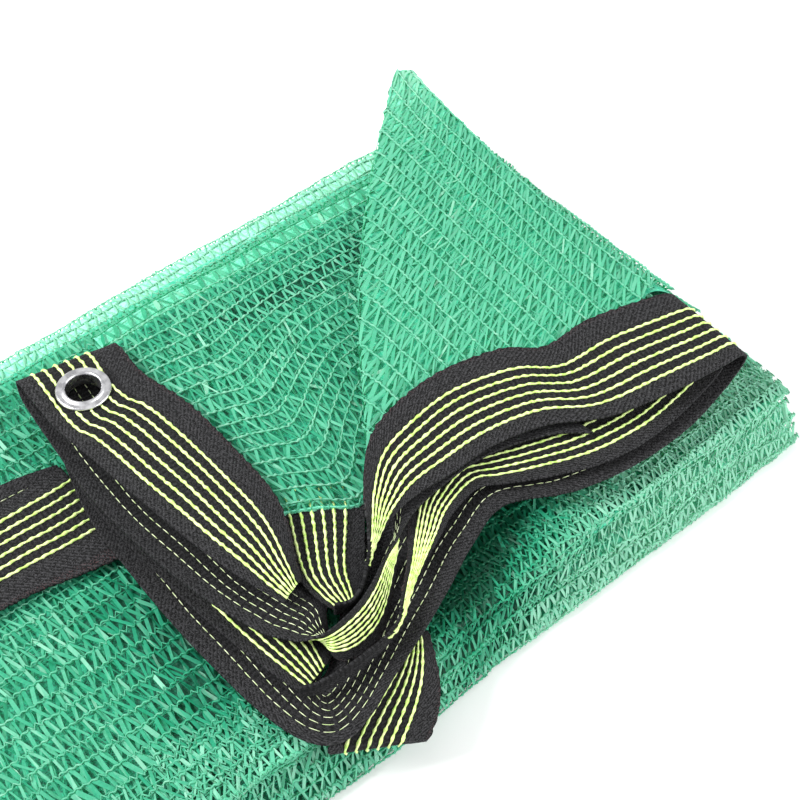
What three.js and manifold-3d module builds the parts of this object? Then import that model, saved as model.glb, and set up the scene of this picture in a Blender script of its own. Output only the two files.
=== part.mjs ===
// A folded shade net. Knitted net lies back and forth in a long flat bundle, its upper layers are
// turned over at one end as a flattened pocket, and black edge tape folds back and forth on top.
// Millimetres, +Z up, the bundle's long side along X, its near side towards -Y.
import * as THREE from 'three';
import * as BufferGeometryUtils from 'three/addons/utils/BufferGeometryUtils.js';
import Module from 'manifold-3d';

const wasm = await Module();
wasm.setup();

const netThickness = 1.6;
const tapeThickness = 1.2;
const foldSteps = 4;            // straight pieces in each half-turn of the net
const tapeAcross = 3;           // strips across the tape
const stepsPerRow = 2;          // cross-sections made from one row of a tape's table

// The eyelet's own sizes, heights measured from the middle of the tape that it is pressed into.
const eyelet = {
  x: -3.5, y: 51.5, z: 43.8,
  boreRadius: 6.2, barrelRadius: 7.1, flangeRadius: 9.9, curlRadius: 8,
  flangeBottom: 0.95, flangeTop: 2.3, curlBottom: -3.5, curlTop: -2.8,
  washerRadius: 9.4, washerBottom: -1.9, washerTop: -1.0,
  clearance: 0.4, sides: 32,
};

// Lower bundle: one row for each layer, from the surface up, with the y of its two folds.
const lowerLayers = [
  { z: 0.8, near: -107, far: 104 },
  { z: 5.4, near: -107, far: 107 },
  { z: 10.0, near: -103, far: 107 },
  { z: 14.6, near: -103, far: 104.5 },
  { z: 19.2, near: -98, far: 104.5 },
  { z: 23.8, near: -98, far: 95 },
];

// How far the folds wander along the bundle, and how much its upper layers swell.
const lowerStations = [
  { x: -205, near: 3.5, far: -4.0, swell: -0.6 },
  { x: -165, near: 1.6, far: -1.5, swell: 0.1 },
  { x: -120, near: 0.8, far: 0.0, swell: -0.3 },
  { x: -75, near: 2.0, far: -1.2, swell: 0.2 },
  { x: -30, near: 1.0, far: -0.6, swell: 0.0 },
  { x: 15, near: 1.2, far: 0.0, swell: 0.0 },
  { x: 60, near: 4.6, far: 2.2, swell: 0.0 },
  { x: 110, near: 4.2, far: 2.4, swell: 0.2 },
  { x: 160, near: 5.4, far: 3.6, swell: 0.0 },
  { x: 205, near: 5.8, far: 1.0, swell: -0.4 },
];

// Upper layers: each row is one layer, read from the fold out of the lower bundle to the top.
const upperLayers = [
  { z: 23.4, near: -13, far: 6 },
  { z: 27.8, near: -13, far: 84 },
  { z: 31.7, near: -13, far: 84 },
  { z: 35.5, near: -13, far: 70 },
  { z: 39.3, near: -13, far: 70 },
];

// The top layer's near edge lies over the tuck of tape; its far folds wander a little.
const upperStations = [
  { x: 17.5, topEdge: -30, far: -1.0 },
  { x: 32, topEdge: -37, far: 0.0 },
  { x: 46, topEdge: -45, far: 0.5 },
  { x: 62, topEdge: -29, far: 0.0 },
  { x: 78, topEdge: -16, far: -0.6 },
  { x: 115, topEdge: -15, far: 0.6 },
  { x: 155, topEdge: -15, far: 0.0 },
  { x: 188, topEdge: -15, far: -1.5 },
];

// The pocket's open mouth, read from the end of its tucked-under layer, round the left fold,
// across the top and down the right side to the lower bundle.
const pocketMouth = [
  { x: 86, y: -22, z: 42.0, bx: -3, by: 3, bz: 0.5 },
  { x: 66, y: -31, z: 42.0, bx: -4.5, by: 4.5, bz: 0.8 },
  { x: 55, y: -38, z: 42.5, bx: -5.5, by: 5.5, bz: 1 },
  { x: 50.5, y: -41, z: 44.4, bx: -5.5, by: 5.5, bz: 1 },
  { x: 53, y: -40.5, z: 45.8, bx: -5.5, by: 5.5, bz: 1 },
  { x: 60, y: -35, z: 45.9, bx: -5, by: 5, bz: 0.9 },
  { x: 72, y: -29.5, z: 45.8, bx: -3.5, by: 3.5, bz: 0.7 },
  { x: 95, y: -26.5, z: 45.7, bx: -2, by: 2, bz: 0.4 },
  { x: 118, y: -31, z: 45.2, bx: -1, by: 1, bz: 0.2 },
  { x: 136, y: -38.5, z: 44.8, bx: -1, by: 0, bz: 0.2 },
  { x: 156, y: -40, z: 45.4, bx: -2, by: 0, bz: 0.1 },
  { x: 175, y: -41, z: 45.2, bx: -3, by: 0, bz: 0.0 },
  { x: 186, y: -38.5, z: 44.4, bx: -4, by: -0.5, bz: 0.0 },
  { x: 194, y: -43.5, z: 41.4, bx: -4, by: -1, bz: 0.0 },
  { x: 197.8, y: -58, z: 34.4, bx: -4, by: -1, bz: -0.5 },
  { x: 200.8, y: -70, z: 28.5, bx: -3.5, by: -1, bz: -0.5 },
  { x: 202.5, y: -78, z: 23.6, bx: -3, by: -1, bz: 0.0 },
];
const pocketApex = { x: 197, y: 117.5, z: 43.4 };
const pocketMiddle = { x: 125, y: -35, z: 43.4 };
const pocketApexScale = 0.05;   // the mouth's outline shrinks to this at the apex
const pocketSteps = 9;

// Tape tables. Each row is one cross-section: the tape's outer edge, then the edge sewn to the
// net. bow lifts the middle of the section.
const eyeletTapeRows = [
  { xo: -19.5, yo: 66, zo: 43.8, xn: 17.8, yn: 60, zn: 43.8, bow: 0 },
  { xo: -19.8, yo: 56, zo: 43.8, xn: 17.3, yn: 53, zn: 43.8, bow: 0 },
  { xo: -19.8, yo: 42, zo: 43.8, xn: 17.5, yn: 44, zn: 43.8, bow: 0 },
  { xo: -17, yo: 22, zo: 43.6, xn: 22, yn: 24, zn: 43.4, bow: 0.3 },
  { xo: -14, yo: -2, zo: 43.8, xn: 23, yn: -2, zn: 43.2, bow: 0.9 },
  { xo: -10.5, yo: -26, zo: 43.6, xn: 22.5, yn: -24, zn: 42.8, bow: 1.4 },
  { xo: -7, yo: -42, zo: 43.0, xn: 18.8, yn: -38, zn: 42.0, bow: 2.2 },
  { xo: -3.2, yo: -54, zo: 41.6, xn: 13, yn: -50, zn: 41.4, bow: 2.0 },
  { xo: 0.5, yo: -61, zo: 39.4, xn: 9.5, yn: -57.5, zn: 39.4, bow: 1.0 },
];

const secondTapeRows = [
  { xo: -19.5, yo: 66.5, zo: 43.8, xn: 17.8, yn: 60.5, zn: 43.8, bow: 0 },
  { xo: -19.4, yo: 70.6, zo: 42.8, xn: 17.5, yn: 64.4, zn: 42.8, bow: 0 },
  { xo: -19, yo: 72.6, zo: 40.4, xn: 17, yn: 66.4, zn: 40.0, bow: 0 },
  { xo: -19.6, yo: 71, zo: 38.4, xn: 16, yn: 65, zn: 37.0, bow: -0.2 },
  { xo: -20.8, yo: 65, zo: 37.6, xn: 15, yn: 59.5, zn: 35.8, bow: -0.5 },
  { xo: -22.6, yo: 46, zo: 37.4, xn: 14, yn: 46, zn: 35.4, bow: -0.6 },
  { xo: -24.5, yo: 20, zo: 37.4, xn: 13, yn: 20, zn: 35.4, bow: -0.6 },
  { xo: -23.5, yo: -4, zo: 37.2, xn: 13, yn: -4, zn: 35.4, bow: -0.6 },
  { xo: -20.5, yo: -28, zo: 37.2, xn: 14, yn: -28, zn: 35.2, bow: -0.6 },
  { xo: -16.5, yo: -47, zo: 37.4, xn: 12, yn: -45, zn: 34.2, bow: -0.3 },
  { xo: -11.5, yo: -64, zo: 38.2, xn: 13, yn: -56, zn: 33.8, bow: 0 },
  { xo: -7, yo: -72, zo: 39.2, xn: 14, yn: -64, zn: 33.6, bow: 0 },
  { xo: -3, yo: -76.5, zo: 40.3, xn: 9, yn: -71.5, zn: 33.4, bow: 0 },
  { xo: 4, yo: -78.8, zo: 41.0, xn: 3, yn: -83, zn: 33.0, bow: 0 },
  { xo: 12, yo: -78, zo: 41.0, xn: 8, yn: -88, zn: 32.8, bow: 0 },
  { xo: 20, yo: -76, zo: 41.0, xn: 18, yn: -87, zn: 32.8, bow: 0 },
  { xo: 28, yo: -72.5, zo: 41.0, xn: 26, yn: -82, zn: 33.6, bow: 0 },
  { xo: 36, yo: -68, zo: 41.0, xn: 37, yn: -72, zn: 36.4, bow: 0 },
  { xo: 45, yo: -64.4, zo: 41.0, xn: 46.5, yn: -60.5, zn: 39.9, bow: 0 },
  { xo: 54, yo: -60.4, zo: 41.0, xn: 55, yn: -50, zn: 40.4, bow: 0 },
  { xo: 66, yo: -58, zo: 41.0, xn: 66, yn: -42, zn: 40.8, bow: 0 },
  { xo: 84, yo: -57, zo: 41.2, xn: 84, yn: -34, zn: 41.2, bow: 0 },
  { xo: 100, yo: -60, zo: 41.2, xn: 100, yn: -31, zn: 41.2, bow: 0 },
  { xo: 114, yo: -65.5, zo: 41.2, xn: 112, yn: -33, zn: 41.2, bow: 0 },
  { xo: 124, yo: -73, zo: 41.0, xn: 119, yn: -36, zn: 41.0, bow: 0 },
];

const thirdTapeRows = [
  { xo: -24.5, yo: 59, zo: 31.2, xn: 11, yn: 59, zn: 30.8, bow: 0 },
  { xo: -24.5, yo: 25, zo: 31.2, xn: 11, yn: 25, zn: 30.8, bow: 0 },
  { xo: -23.5, yo: -5, zo: 31.1, xn: 11, yn: -5, zn: 30.8, bow: 0 },
  { xo: -21.5, yo: -35, zo: 31.6, xn: 11, yn: -35, zn: 31.2, bow: 0 },
  { xo: -18.2, yo: -60, zo: 31.4, xn: 9.5, yn: -58, zn: 30.8, bow: 0 },
  { xo: -14.8, yo: -77, zo: 31.0, xn: 7, yn: -72, zn: 30.6, bow: 0 },
  { xo: -12, yo: -87.4, zo: 31.0, xn: 3, yn: -82, zn: 30.4, bow: 0 },
];

const fourthTapeRows = [
  { xo: -13.5, yo: -87, zo: 36.6, xn: -13, yn: -86.4, zn: 31.0, bow: 0 },
  { xo: -9, yo: -89.6, zo: 37.6, xn: -8.8, yn: -89.2, zn: 30.7, bow: 0 },
  { xo: 0, yo: -91, zo: 38.0, xn: 0.2, yn: -90.6, zn: 30.7, bow: 0 },
  { xo: 10, yo: -91, zo: 38.0, xn: 10.4, yn: -90.4, zn: 30.7, bow: 0 },
  { xo: 19, yo: -90.2, zo: 38.2, xn: 19.8, yn: -89.4, zn: 31.0, bow: 0 },
  { xo: 26.5, yo: -87.4, zo: 38.4, xn: 28.6, yn: -85.6, zn: 32.4, bow: 0 },
  { xo: 33, yo: -80.5, zo: 38.4, xn: 38, yn: -80, zn: 35.4, bow: 0 },
  { xo: 41, yo: -73, zo: 38.2, xn: 47.5, yn: -75.4, zn: 36.4, bow: 0 },
  { xo: 50, yo: -62.5, zo: 37.8, xn: 57.5, yn: -70.8, zn: 37.0, bow: 0 },
  { xo: 63, yo: -50, zo: 38.0, xn: 66.5, yn: -66.5, zn: 37.2, bow: 0 },
  { xo: 80, yo: -42, zo: 38.0, xn: 79.5, yn: -64, zn: 37.4, bow: 0 },
  { xo: 91, yo: -44, zo: 38.0, xn: 88.5, yn: -68.6, zn: 37.2, bow: 0 },
  { xo: 104, yo: -46, zo: 38.0, xn: 101, yn: -75, zn: 37.0, bow: 0 },
  { xo: 120, yo: -49, zo: 38.0, xn: 118, yn: -82, zn: 37.0, bow: 0 },
  { xo: 137, yo: -51, zo: 38.0, xn: 136, yn: -85, zn: 37.0, bow: 0 },
  { xo: 155, yo: -51, zo: 38.4, xn: 155, yn: -84.4, zn: 37.6, bow: 0 },
  { xo: 172, yo: -51, zo: 39.4, xn: 172, yn: -82, zn: 39.0, bow: 0 },
  { xo: 181, yo: -51, zo: 40.4, xn: 181, yn: -80, zn: 40.2, bow: 0 },
];

const pocketTapeRows = [
  { xo: -27.5, yo: 61, zo: 29.4, xn: 10, yn: 61, zn: 28.2, bow: 0 },
  { xo: -28, yo: 28, zo: 29.6, xn: 10, yn: 28, zn: 28.2, bow: 0 },
  { xo: -28.6, yo: -5, zo: 29.6, xn: 10, yn: -5, zn: 28.2, bow: 0 },
  { xo: -28.8, yo: -35, zo: 28.6, xn: 10, yn: -35, zn: 28.0, bow: 0 },
  { xo: -27.4, yo: -62, zo: 28.0, xn: 9, yn: -60, zn: 27.8, bow: 0 },
  { xo: -25, yo: -84, zo: 28.0, xn: 5, yn: -76, zn: 27.6, bow: 0 },
  { xo: -20, yo: -100, zo: 28.2, xn: -1, yn: -82, zn: 27.6, bow: 0 },
  { xo: -11.5, yo: -106.8, zo: 28.6, xn: -4, yn: -84.5, zn: 27.6, bow: -0.6 },
  { xo: 0.5, yo: -105.2, zo: 29.0, xn: -1, yn: -84, zn: 27.6, bow: 0 },
  { xo: 14.5, yo: -99.4, zo: 29.6, xn: 7, yn: -78, zn: 27.6, bow: 0 },
  { xo: 34, yo: -92, zo: 30.4, xn: 24, yn: -62, zn: 27.8, bow: 0 },
  { xo: 50, yo: -85, zo: 31.4, xn: 42, yn: -50, zn: 28.4, bow: 0 },
  { xo: 66, yo: -77.6, zo: 32.4, xn: 62, yn: -42, zn: 29.4, bow: 0 },
  { xo: 84, yo: -72.8, zo: 33.2, xn: 84, yn: -37, zn: 30.8, bow: 0 },
  { xo: 106, yo: -83, zo: 33.0, xn: 106, yn: -44, zn: 31.8, bow: 0 },
  { xo: 130, yo: -88, zo: 33.0, xn: 130, yn: -48, zn: 32.6, bow: 0 },
  { xo: 156, yo: -88.4, zo: 33.6, xn: 156, yn: -48, zn: 33.4, bow: 0 },
  { xo: 177, yo: -85, zo: 35.2, xn: 177, yn: -46, zn: 35.0, bow: 0 },
  { xo: 186.4, yo: -83, zo: 37.2, xn: 186.4, yn: -46, zn: 37.2, bow: 0 },
  { xo: 190.4, yo: -82.4, zo: 41.0, xn: 190.4, yn: -46, zn: 41.4, bow: 0 },
  { xo: 187.4, yo: -82.2, zo: 44.6, xn: 187.4, yn: -45, zn: 45.8, bow: 0 },
  { xo: 178, yo: -82, zo: 45.4, xn: 178, yn: -42.6, zn: 47.2, bow: 0 },
  { xo: 156, yo: -79.2, zo: 45.4, xn: 154, yn: -37, zn: 47.6, bow: 0.2 },
  { xo: 131, yo: -73, zo: 44.8, xn: 134, yn: -36.4, zn: 47.0, bow: -0.6 },
  { xo: 112, yo: -62.6, zo: 44.8, xn: 120, yn: -27.6, zn: 47.6, bow: 0.4 },
  { xo: 92, yo: -57.6, zo: 44.6, xn: 95, yn: -22.6, zn: 47.9, bow: 0.6 },
  { xo: 73, yo: -57.6, zo: 44.4, xn: 71, yn: -25.6, zn: 48.1, bow: 0.6 },
  { xo: 60, yo: -57, zo: 44.2, xn: 57, yn: -32.5, zn: 48.4, bow: 0.4 },
  { xo: 50.5, yo: -57.8, zo: 43.6, xn: 44.5, yn: -46, zn: 48.2, bow: 0 },
  { xo: 42, yo: -60, zo: 42.4, xn: 36, yn: -59, zn: 47.4, bow: 0 },
  { xo: 36, yo: -61.8, zo: 38.6, xn: 31.8, yn: -65, zn: 45.6, bow: 0 },
  { xo: 31, yo: -65.4, zo: 35.2, xn: 28.6, yn: -67.6, zn: 42.6, bow: 0 },
  { xo: 27, yo: -69, zo: 34.2, xn: 25.2, yn: -70.6, zn: 41.6, bow: 0 },
  { xo: 22, yo: -72, zo: 34.0, xn: 21, yn: -73.4, zn: 41.5, bow: 0 },
  { xo: 16.5, yo: -73, zo: 34.0, xn: 16.3, yn: -74.4, zn: 41.5, bow: 0 },
  { xo: 12.4, yo: -71, zo: 34.0, xn: 12, yn: -72.4, zn: 41.2, bow: 0 },
];

const tuckTapeRows = [
  { xo: 24, yo: -20.5, zo: 36.0, xn: 50, yn: -38, zn: 36.0, bow: 0 },
  { xo: 21, yo: -28, zo: 36.2, xn: 45.5, yn: -45, zn: 36.2, bow: 0 },
  { xo: 14.4, yo: -43, zo: 36.3, xn: 36.5, yn: -56.5, zn: 36.3, bow: 0 },
  { xo: 10.6, yo: -54, zo: 36.3, xn: 30, yn: -65, zn: 36.3, bow: 0 },
  { xo: 10.6, yo: -64, zo: 36.3, xn: 27, yn: -69, zn: 36.3, bow: 0 },
  { xo: 12.4, yo: -71.8, zo: 36.3, xn: 23, yn: -72.2, zn: 36.3, bow: 0 },
];

const cornerTapeRows = [
  { xo: 26, yo: -89, zo: 26.6, xn: 35, yn: -91.5, zn: 26.6, bow: 0 },
  { xo: 18, yo: -93, zo: 26.4, xn: 31.5, yn: -99, zn: 25.6, bow: 0 },
  { xo: 6, yo: -96.5, zo: 26.2, xn: 27.5, yn: -106.5, zn: 21.0, bow: 0.6 },
  { xo: -6, yo: -99.5, zo: 25.9, xn: 21.5, yn: -113, zn: 17.6, bow: 0.9 },
  { xo: -15.5, yo: -104, zo: 24.4, xn: 14, yn: -117.6, zn: 16.6, bow: 0.6 },
  { xo: -15.5, yo: -104.6, zo: 22.2, xn: 13, yn: -116.4, zn: 14.8, bow: 0 },
];

const sideTapeRows = [
  { xo: -23, yo: 40, zo: 27.6, xn: -23, yn: -6, zn: 27.4, bow: 0 },
  { xo: -40, yo: 39, zo: 27.6, xn: -40, yn: -3, zn: 27.4, bow: 0 },
  { xo: -60, yo: 39.5, zo: 27.6, xn: -60, yn: 1, zn: 27.4, bow: 0 },
  { xo: -100, yo: 42, zo: 27.5, xn: -100, yn: 3.5, zn: 27.5, bow: 0 },
  { xo: -150, yo: 43, zo: 27.5, xn: -150, yn: 4, zn: 27.5, bow: 0 },
  { xo: -188, yo: 42, zo: 27.5, xn: -188, yn: 3, zn: 27.5, bow: 0 },
  { xo: -191.4, yo: 43, zo: 26.6, xn: -191.4, yn: 4, zn: 26.6, bow: 0 },
  { xo: -188, yo: 45, zo: 25.95, xn: -188, yn: 8, zn: 25.95, bow: 0 },
  { xo: -120, yo: 47, zo: 25.95, xn: -120, yn: 10, zn: 25.95, bow: 0 },
  { xo: -60, yo: 48, zo: 25.95, xn: -60, yn: 12, zn: 25.95, bow: 0 },
  { xo: -40, yo: 47, zo: 25.95, xn: -40, yn: 12, zn: 25.95, bow: 0 },
  { xo: -23, yo: 43, zo: 25.95, xn: -23, yn: 10, zn: 25.95, bow: 0 },
];

// Value of one column of a table at a place between its rows, on a smooth curve through them.
function column(rows, name, place) {
  const last = rows.length - 1;
  const index = Math.min(Math.floor(place), last - 1);
  const t = place - index;
  const value = (k) => rows[Math.max(0, Math.min(last, k))][name];
  const [a, b, c, d] = [value(index - 1), value(index), value(index + 1), value(index + 2)];
  return b + 0.5 * t * (c - a + t * (2 * a - 5 * b + 4 * c - d + t * (3 * (b - c) + d - a)));
}

// Closed sheet of even thickness about a grid of points, grid[i][j].
function thickSheet(grid, thickness) {
  const rows = grid.length;
  const cols = grid[0].length;
  const positions = [];
  for (const side of [0.5, -0.5]) {
    for (let i = 0; i < rows; i += 1) {
      for (let j = 0; j < cols; j += 1) {
        const along = grid[Math.min(i + 1, rows - 1)][j].clone().sub(grid[Math.max(i - 1, 0)][j]);
        const across = grid[i][Math.min(j + 1, cols - 1)].clone().sub(grid[i][Math.max(j - 1, 0)]);
        const normal = along.cross(across).normalize();
        const point = grid[i][j].clone().addScaledVector(normal, side * thickness);
        positions.push(point.x, point.y, point.z);
      }
    }
  }
  const under = rows * cols;
  const indices = [];
  const quad = (a, b, c, d) => indices.push(a, b, c, a, c, d);
  for (let i = 0; i < rows - 1; i += 1) {
    for (let j = 0; j < cols - 1; j += 1) {
      const a = i * cols + j;
      quad(a, a + cols, a + cols + 1, a + 1);
      quad(under + a, under + a + 1, under + a + cols + 1, under + a + cols);
    }
  }
  for (let i = 0; i < rows - 1; i += 1) {
    const a = i * cols;
    const b = a + cols - 1;
    quad(a, under + a, under + a + cols, a + cols);
    quad(b, b + cols, under + b + cols, under + b);
  }
  for (let j = 0; j < cols - 1; j += 1) {
    const a = j;
    const b = (rows - 1) * cols + j;
    quad(a, a + 1, under + a + 1, under + a);
    quad(b, under + b, under + b + 1, b + 1);
  }
  const geometry = new THREE.BufferGeometry();
  geometry.setAttribute('position', new THREE.Float32BufferAttribute(positions, 3));
  geometry.setIndex(indices);
  return geometry;
}

function toManifold(geometry) {
  const bare = geometry.clone();
  bare.deleteAttribute('normal');
  bare.deleteAttribute('uv');
  const merged = BufferGeometryUtils.mergeVertices(bare, 1e-4);
  return new wasm.Manifold(new wasm.Mesh({
    numProp: 3,
    vertProperties: new Float32Array(merged.attributes.position.array),
    triVerts: new Uint32Array(merged.index.array),
  }));
}

function toGeometry(solid) {
  const mesh = solid.getMesh();
  const geometry = new THREE.BufferGeometry();
  geometry.setAttribute('position', new THREE.BufferAttribute(mesh.vertProperties, 3));
  geometry.setIndex(new THREE.BufferAttribute(mesh.triVerts, 1));
  return geometry;
}

// Points of one half-turn between two layers, bulging by half their distance.
function foldPoints(y, lowZ, highZ, outward) {
  const radius = (highZ - lowZ) / 2;
  const points = [];
  for (let k = 1; k < foldSteps; k += 1) {
    const angle = (Math.PI * k) / foldSteps - Math.PI / 2;
    points.push({
      y: y + outward * radius * Math.cos(angle),
      z: lowZ + radius + radius * Math.sin(angle),
    });
  }
  return points;
}

// Back-and-forth section through a stack of layers. startsNear says where the lowest one begins.
function foldedSection(layers, startsNear, pointsPerLayer) {
  const points = [];
  layers.forEach((layer, k) => {
    const towardsFar = (k % 2 === 0) === startsNear;
    const from = towardsFar ? layer.near : layer.far;
    const to = towardsFar ? layer.far : layer.near;
    for (let s = 0; s <= pointsPerLayer; s += 1) {
      points.push({ y: from + ((to - from) * s) / pointsPerLayer, z: layer.z });
    }
    if (k < layers.length - 1) {
      points.push(...foldPoints(to, layer.z, layers[k + 1].z, towardsFar ? 1 : -1));
    }
  });
  return points;
}

function lowerBundle() {
  const grid = lowerStations.map((station) => {
    const layers = lowerLayers.map((layer, k) => ({
      z: layer.z + (station.swell * k) / lowerLayers.length,
      near: layer.near + station.near,
      far: layer.far + station.far,
    }));
    return foldedSection(layers, false, 4).map((p) => new THREE.Vector3(station.x, p.y, p.z));
  });
  return thickSheet(grid, netThickness);
}

function upperBundle() {
  const grid = upperStations.map((station) => {
    const top = upperLayers.length - 1;
    const layers = upperLayers.map((layer, k) => ({
      z: layer.z,
      near: k === top ? station.topEdge : layer.near,
      far: k === 0 ? layer.far : layer.far + station.far,
    }));
    return foldedSection(layers, false, 4).map((p) => new THREE.Vector3(station.x, p.y, p.z));
  });
  return thickSheet(grid, netThickness);
}

// Flattened cone from the mouth to the apex, swollen along its left fold.
function pocket() {
  const grid = [];
  const centre = new THREE.Vector3(pocketApex.x, pocketApex.y, pocketApex.z);
  const middle = new THREE.Vector3(pocketMiddle.x, pocketMiddle.y, pocketMiddle.z);
  for (let i = 0; i <= pocketSteps; i += 1) {
    const v = i / pocketSteps;
    const swell = Math.sin(Math.PI * v);
    const row = [];
    for (let j = 0; j < pocketMouth.length; j += 1) {
      const mouth = new THREE.Vector3(pocketMouth[j].x, pocketMouth[j].y, pocketMouth[j].z);
      const tip = mouth.clone().sub(middle);
      tip.set(tip.x * pocketApexScale, tip.y * pocketApexScale, tip.z * 0.5).add(centre);
      const point = mouth.lerp(tip, v);
      point.x += swell * pocketMouth[j].bx;
      point.y += swell * pocketMouth[j].by;
      point.z += swell * pocketMouth[j].bz;
      row.push(point);
    }
    grid.push(row);
  }
  return thickSheet(grid, netThickness);
}

function tape(rows) {
  const steps = (rows.length - 1) * stepsPerRow;
  const grid = [];
  for (let i = 0; i <= steps; i += 1) {
    const place = i / stepsPerRow;
    const at = (name) => column(rows, name, place);
    const outer = new THREE.Vector3(at('xo'), at('yo'), at('zo'));
    const netSide = new THREE.Vector3(at('xn'), at('yn'), at('zn'));
    const section = [];
    for (let j = 0; j <= tapeAcross; j += 1) {
      const u = j / tapeAcross;
      const point = outer.clone().lerp(netSide, u);
      point.z += at('bow') * 4 * u * (1 - u);
      section.push(point);
    }
    grid.push(section);
  }
  return thickSheet(grid, tapeThickness);
}

function joined(...geometries) {
  const solids = geometries.map(toManifold);
  return toGeometry(solids.reduce((whole, solid) => whole.add(solid)));
}

// Ring turned about the eyelet's own axis from a closed profile of radius and height.
function turned(profile) {
  const points = profile.map(([r, z]) => new THREE.Vector2(r, z));
  points.push(points[0].clone());
  const geometry = new THREE.LatheGeometry(points, eyelet.sides);
  geometry.rotateX(Math.PI / 2);
  geometry.translate(eyelet.x, eyelet.y, eyelet.z);
  return toGeometry(toManifold(geometry));
}

function eyeletBarrel() {
  const e = eyelet;
  return turned([
    [e.boreRadius, e.flangeTop - 0.7],
    [e.boreRadius + 0.5, e.flangeTop - 0.15],
    [e.boreRadius + 1.1, e.flangeTop],
    [e.flangeRadius - 0.8, e.flangeTop],
    [e.flangeRadius, e.flangeTop - 0.6],
    [e.flangeRadius, e.flangeBottom],
    [e.barrelRadius, e.flangeBottom],
    [e.barrelRadius, e.curlTop],
    [e.curlRadius, e.curlTop],
    [e.curlRadius, e.curlBottom],
    [e.boreRadius, e.curlBottom],
  ].reverse());
}

function eyeletWasher() {
  const e = eyelet;
  const inner = e.barrelRadius + e.clearance;
  return turned([
    [inner, e.washerTop],
    [e.washerRadius, e.washerTop],
    [e.washerRadius, e.washerBottom],
    [inner, e.washerBottom],
  ].reverse());
}

function eyeletTape() {
  const radius = eyelet.barrelRadius + eyelet.clearance;
  const hole = new THREE.CylinderGeometry(radius, radius, 8 * tapeThickness, eyelet.sides);
  hole.rotateX(Math.PI / 2);
  hole.translate(eyelet.x, eyelet.y, eyelet.z);
  return toGeometry(toManifold(tape(eyeletTapeRows)).subtract(toManifold(hole)));
}

const netFinish = { color: 0x3fae80, roughness: 0.55, metalness: 0 };
const tapeFinish = { color: 0x2b292d, roughness: 0.85, metalness: 0 };
const aluminium = { color: 0xc9c9cb, roughness: 0.3, metalness: 1 };

const shadeNet = new THREE.Group();
function addPiece(name, geometry, finish) {
  const mesh = new THREE.Mesh(geometry, new THREE.MeshStandardMaterial(finish));
  mesh.name = name;
  shadeNet.add(mesh);
}

addPiece('net', joined(lowerBundle(), upperBundle(), pocket()), netFinish);
addPiece('tape_eyelet', eyeletTape(), tapeFinish);
addPiece('tape_second', tape(secondTapeRows), tapeFinish);
addPiece('tape_third', joined(tape(thirdTapeRows), tape(fourthTapeRows)), tapeFinish);
addPiece('tape_pocket', joined(tape(pocketTapeRows), tape(tuckTapeRows)), tapeFinish);
addPiece('tape_corner', tape(cornerTapeRows), tapeFinish);
addPiece('tape_side', tape(sideTapeRows), tapeFinish);
addPiece('eyelet', eyeletBarrel(), aluminium);
addPiece('eyelet_washer', eyeletWasher(), aluminium);

export default shadeNet;
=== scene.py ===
import math

import bpy
import numpy as np
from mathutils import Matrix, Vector


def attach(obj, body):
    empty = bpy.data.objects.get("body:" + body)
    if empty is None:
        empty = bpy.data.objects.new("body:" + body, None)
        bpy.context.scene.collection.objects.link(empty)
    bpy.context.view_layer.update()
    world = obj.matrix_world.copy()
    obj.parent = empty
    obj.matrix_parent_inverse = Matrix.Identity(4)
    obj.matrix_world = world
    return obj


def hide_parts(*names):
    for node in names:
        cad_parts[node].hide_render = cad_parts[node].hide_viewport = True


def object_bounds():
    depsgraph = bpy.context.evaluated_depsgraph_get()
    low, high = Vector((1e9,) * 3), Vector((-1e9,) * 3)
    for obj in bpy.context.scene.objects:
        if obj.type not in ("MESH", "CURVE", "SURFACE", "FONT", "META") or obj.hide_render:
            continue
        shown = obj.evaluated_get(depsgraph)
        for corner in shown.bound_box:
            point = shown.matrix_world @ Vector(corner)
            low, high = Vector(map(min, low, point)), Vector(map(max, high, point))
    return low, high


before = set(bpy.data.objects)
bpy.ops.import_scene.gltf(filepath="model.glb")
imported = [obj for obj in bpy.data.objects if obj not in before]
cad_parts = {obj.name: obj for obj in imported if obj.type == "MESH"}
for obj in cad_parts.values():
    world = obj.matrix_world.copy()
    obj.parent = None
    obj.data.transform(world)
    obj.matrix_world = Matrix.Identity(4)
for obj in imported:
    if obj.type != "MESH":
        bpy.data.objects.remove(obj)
cadBox = [list(corner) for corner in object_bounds()]
print("frame loaded", cadBox)

millimetre = 0.001
photoView = {  # degrees round and up, then metres, the lens in mm
    "azimuth": -39,
    "elevation": 50,
    "distance": 0.598,
    "lens": 74,
    "aim": (0.090, -0.009, 0.025),
}


# The camera stands back from its aim along a line turned round by the azimuth and raised by the
# elevation, and looks down that line.
def setCamera():
    turn = math.radians(photoView["azimuth"])
    rise = math.radians(photoView["elevation"])
    back = Vector((math.sin(turn) * math.cos(rise), -math.cos(turn) * math.cos(rise), math.sin(rise)))
    camera = bpy.data.objects.new("photoCamera", bpy.data.cameras.new("photoCamera"))
    camera.data.sensor_width = 36
    camera.data.lens = photoView["lens"]
    camera.data.clip_start = 0.01
    camera.location = Vector(photoView["aim"]) + back * photoView["distance"]
    camera.rotation_mode = "QUATERNION"
    camera.rotation_quaternion = (-back).to_track_quat("-Z", "Y")
    bpy.context.collection.objects.link(camera)
    bpy.context.scene.camera = camera


setCamera()


# 0 up to start, then even growth to 1 over a stretch.
def growth(value, start, over):
    return np.clip((value - start) / over, 0, 1)


# Random amounts about 0, none beyond limit times the usual.
def chance(dice, shape, limit):
    return dice.normal(0, 1, shape).clip(-limit, limit)


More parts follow.
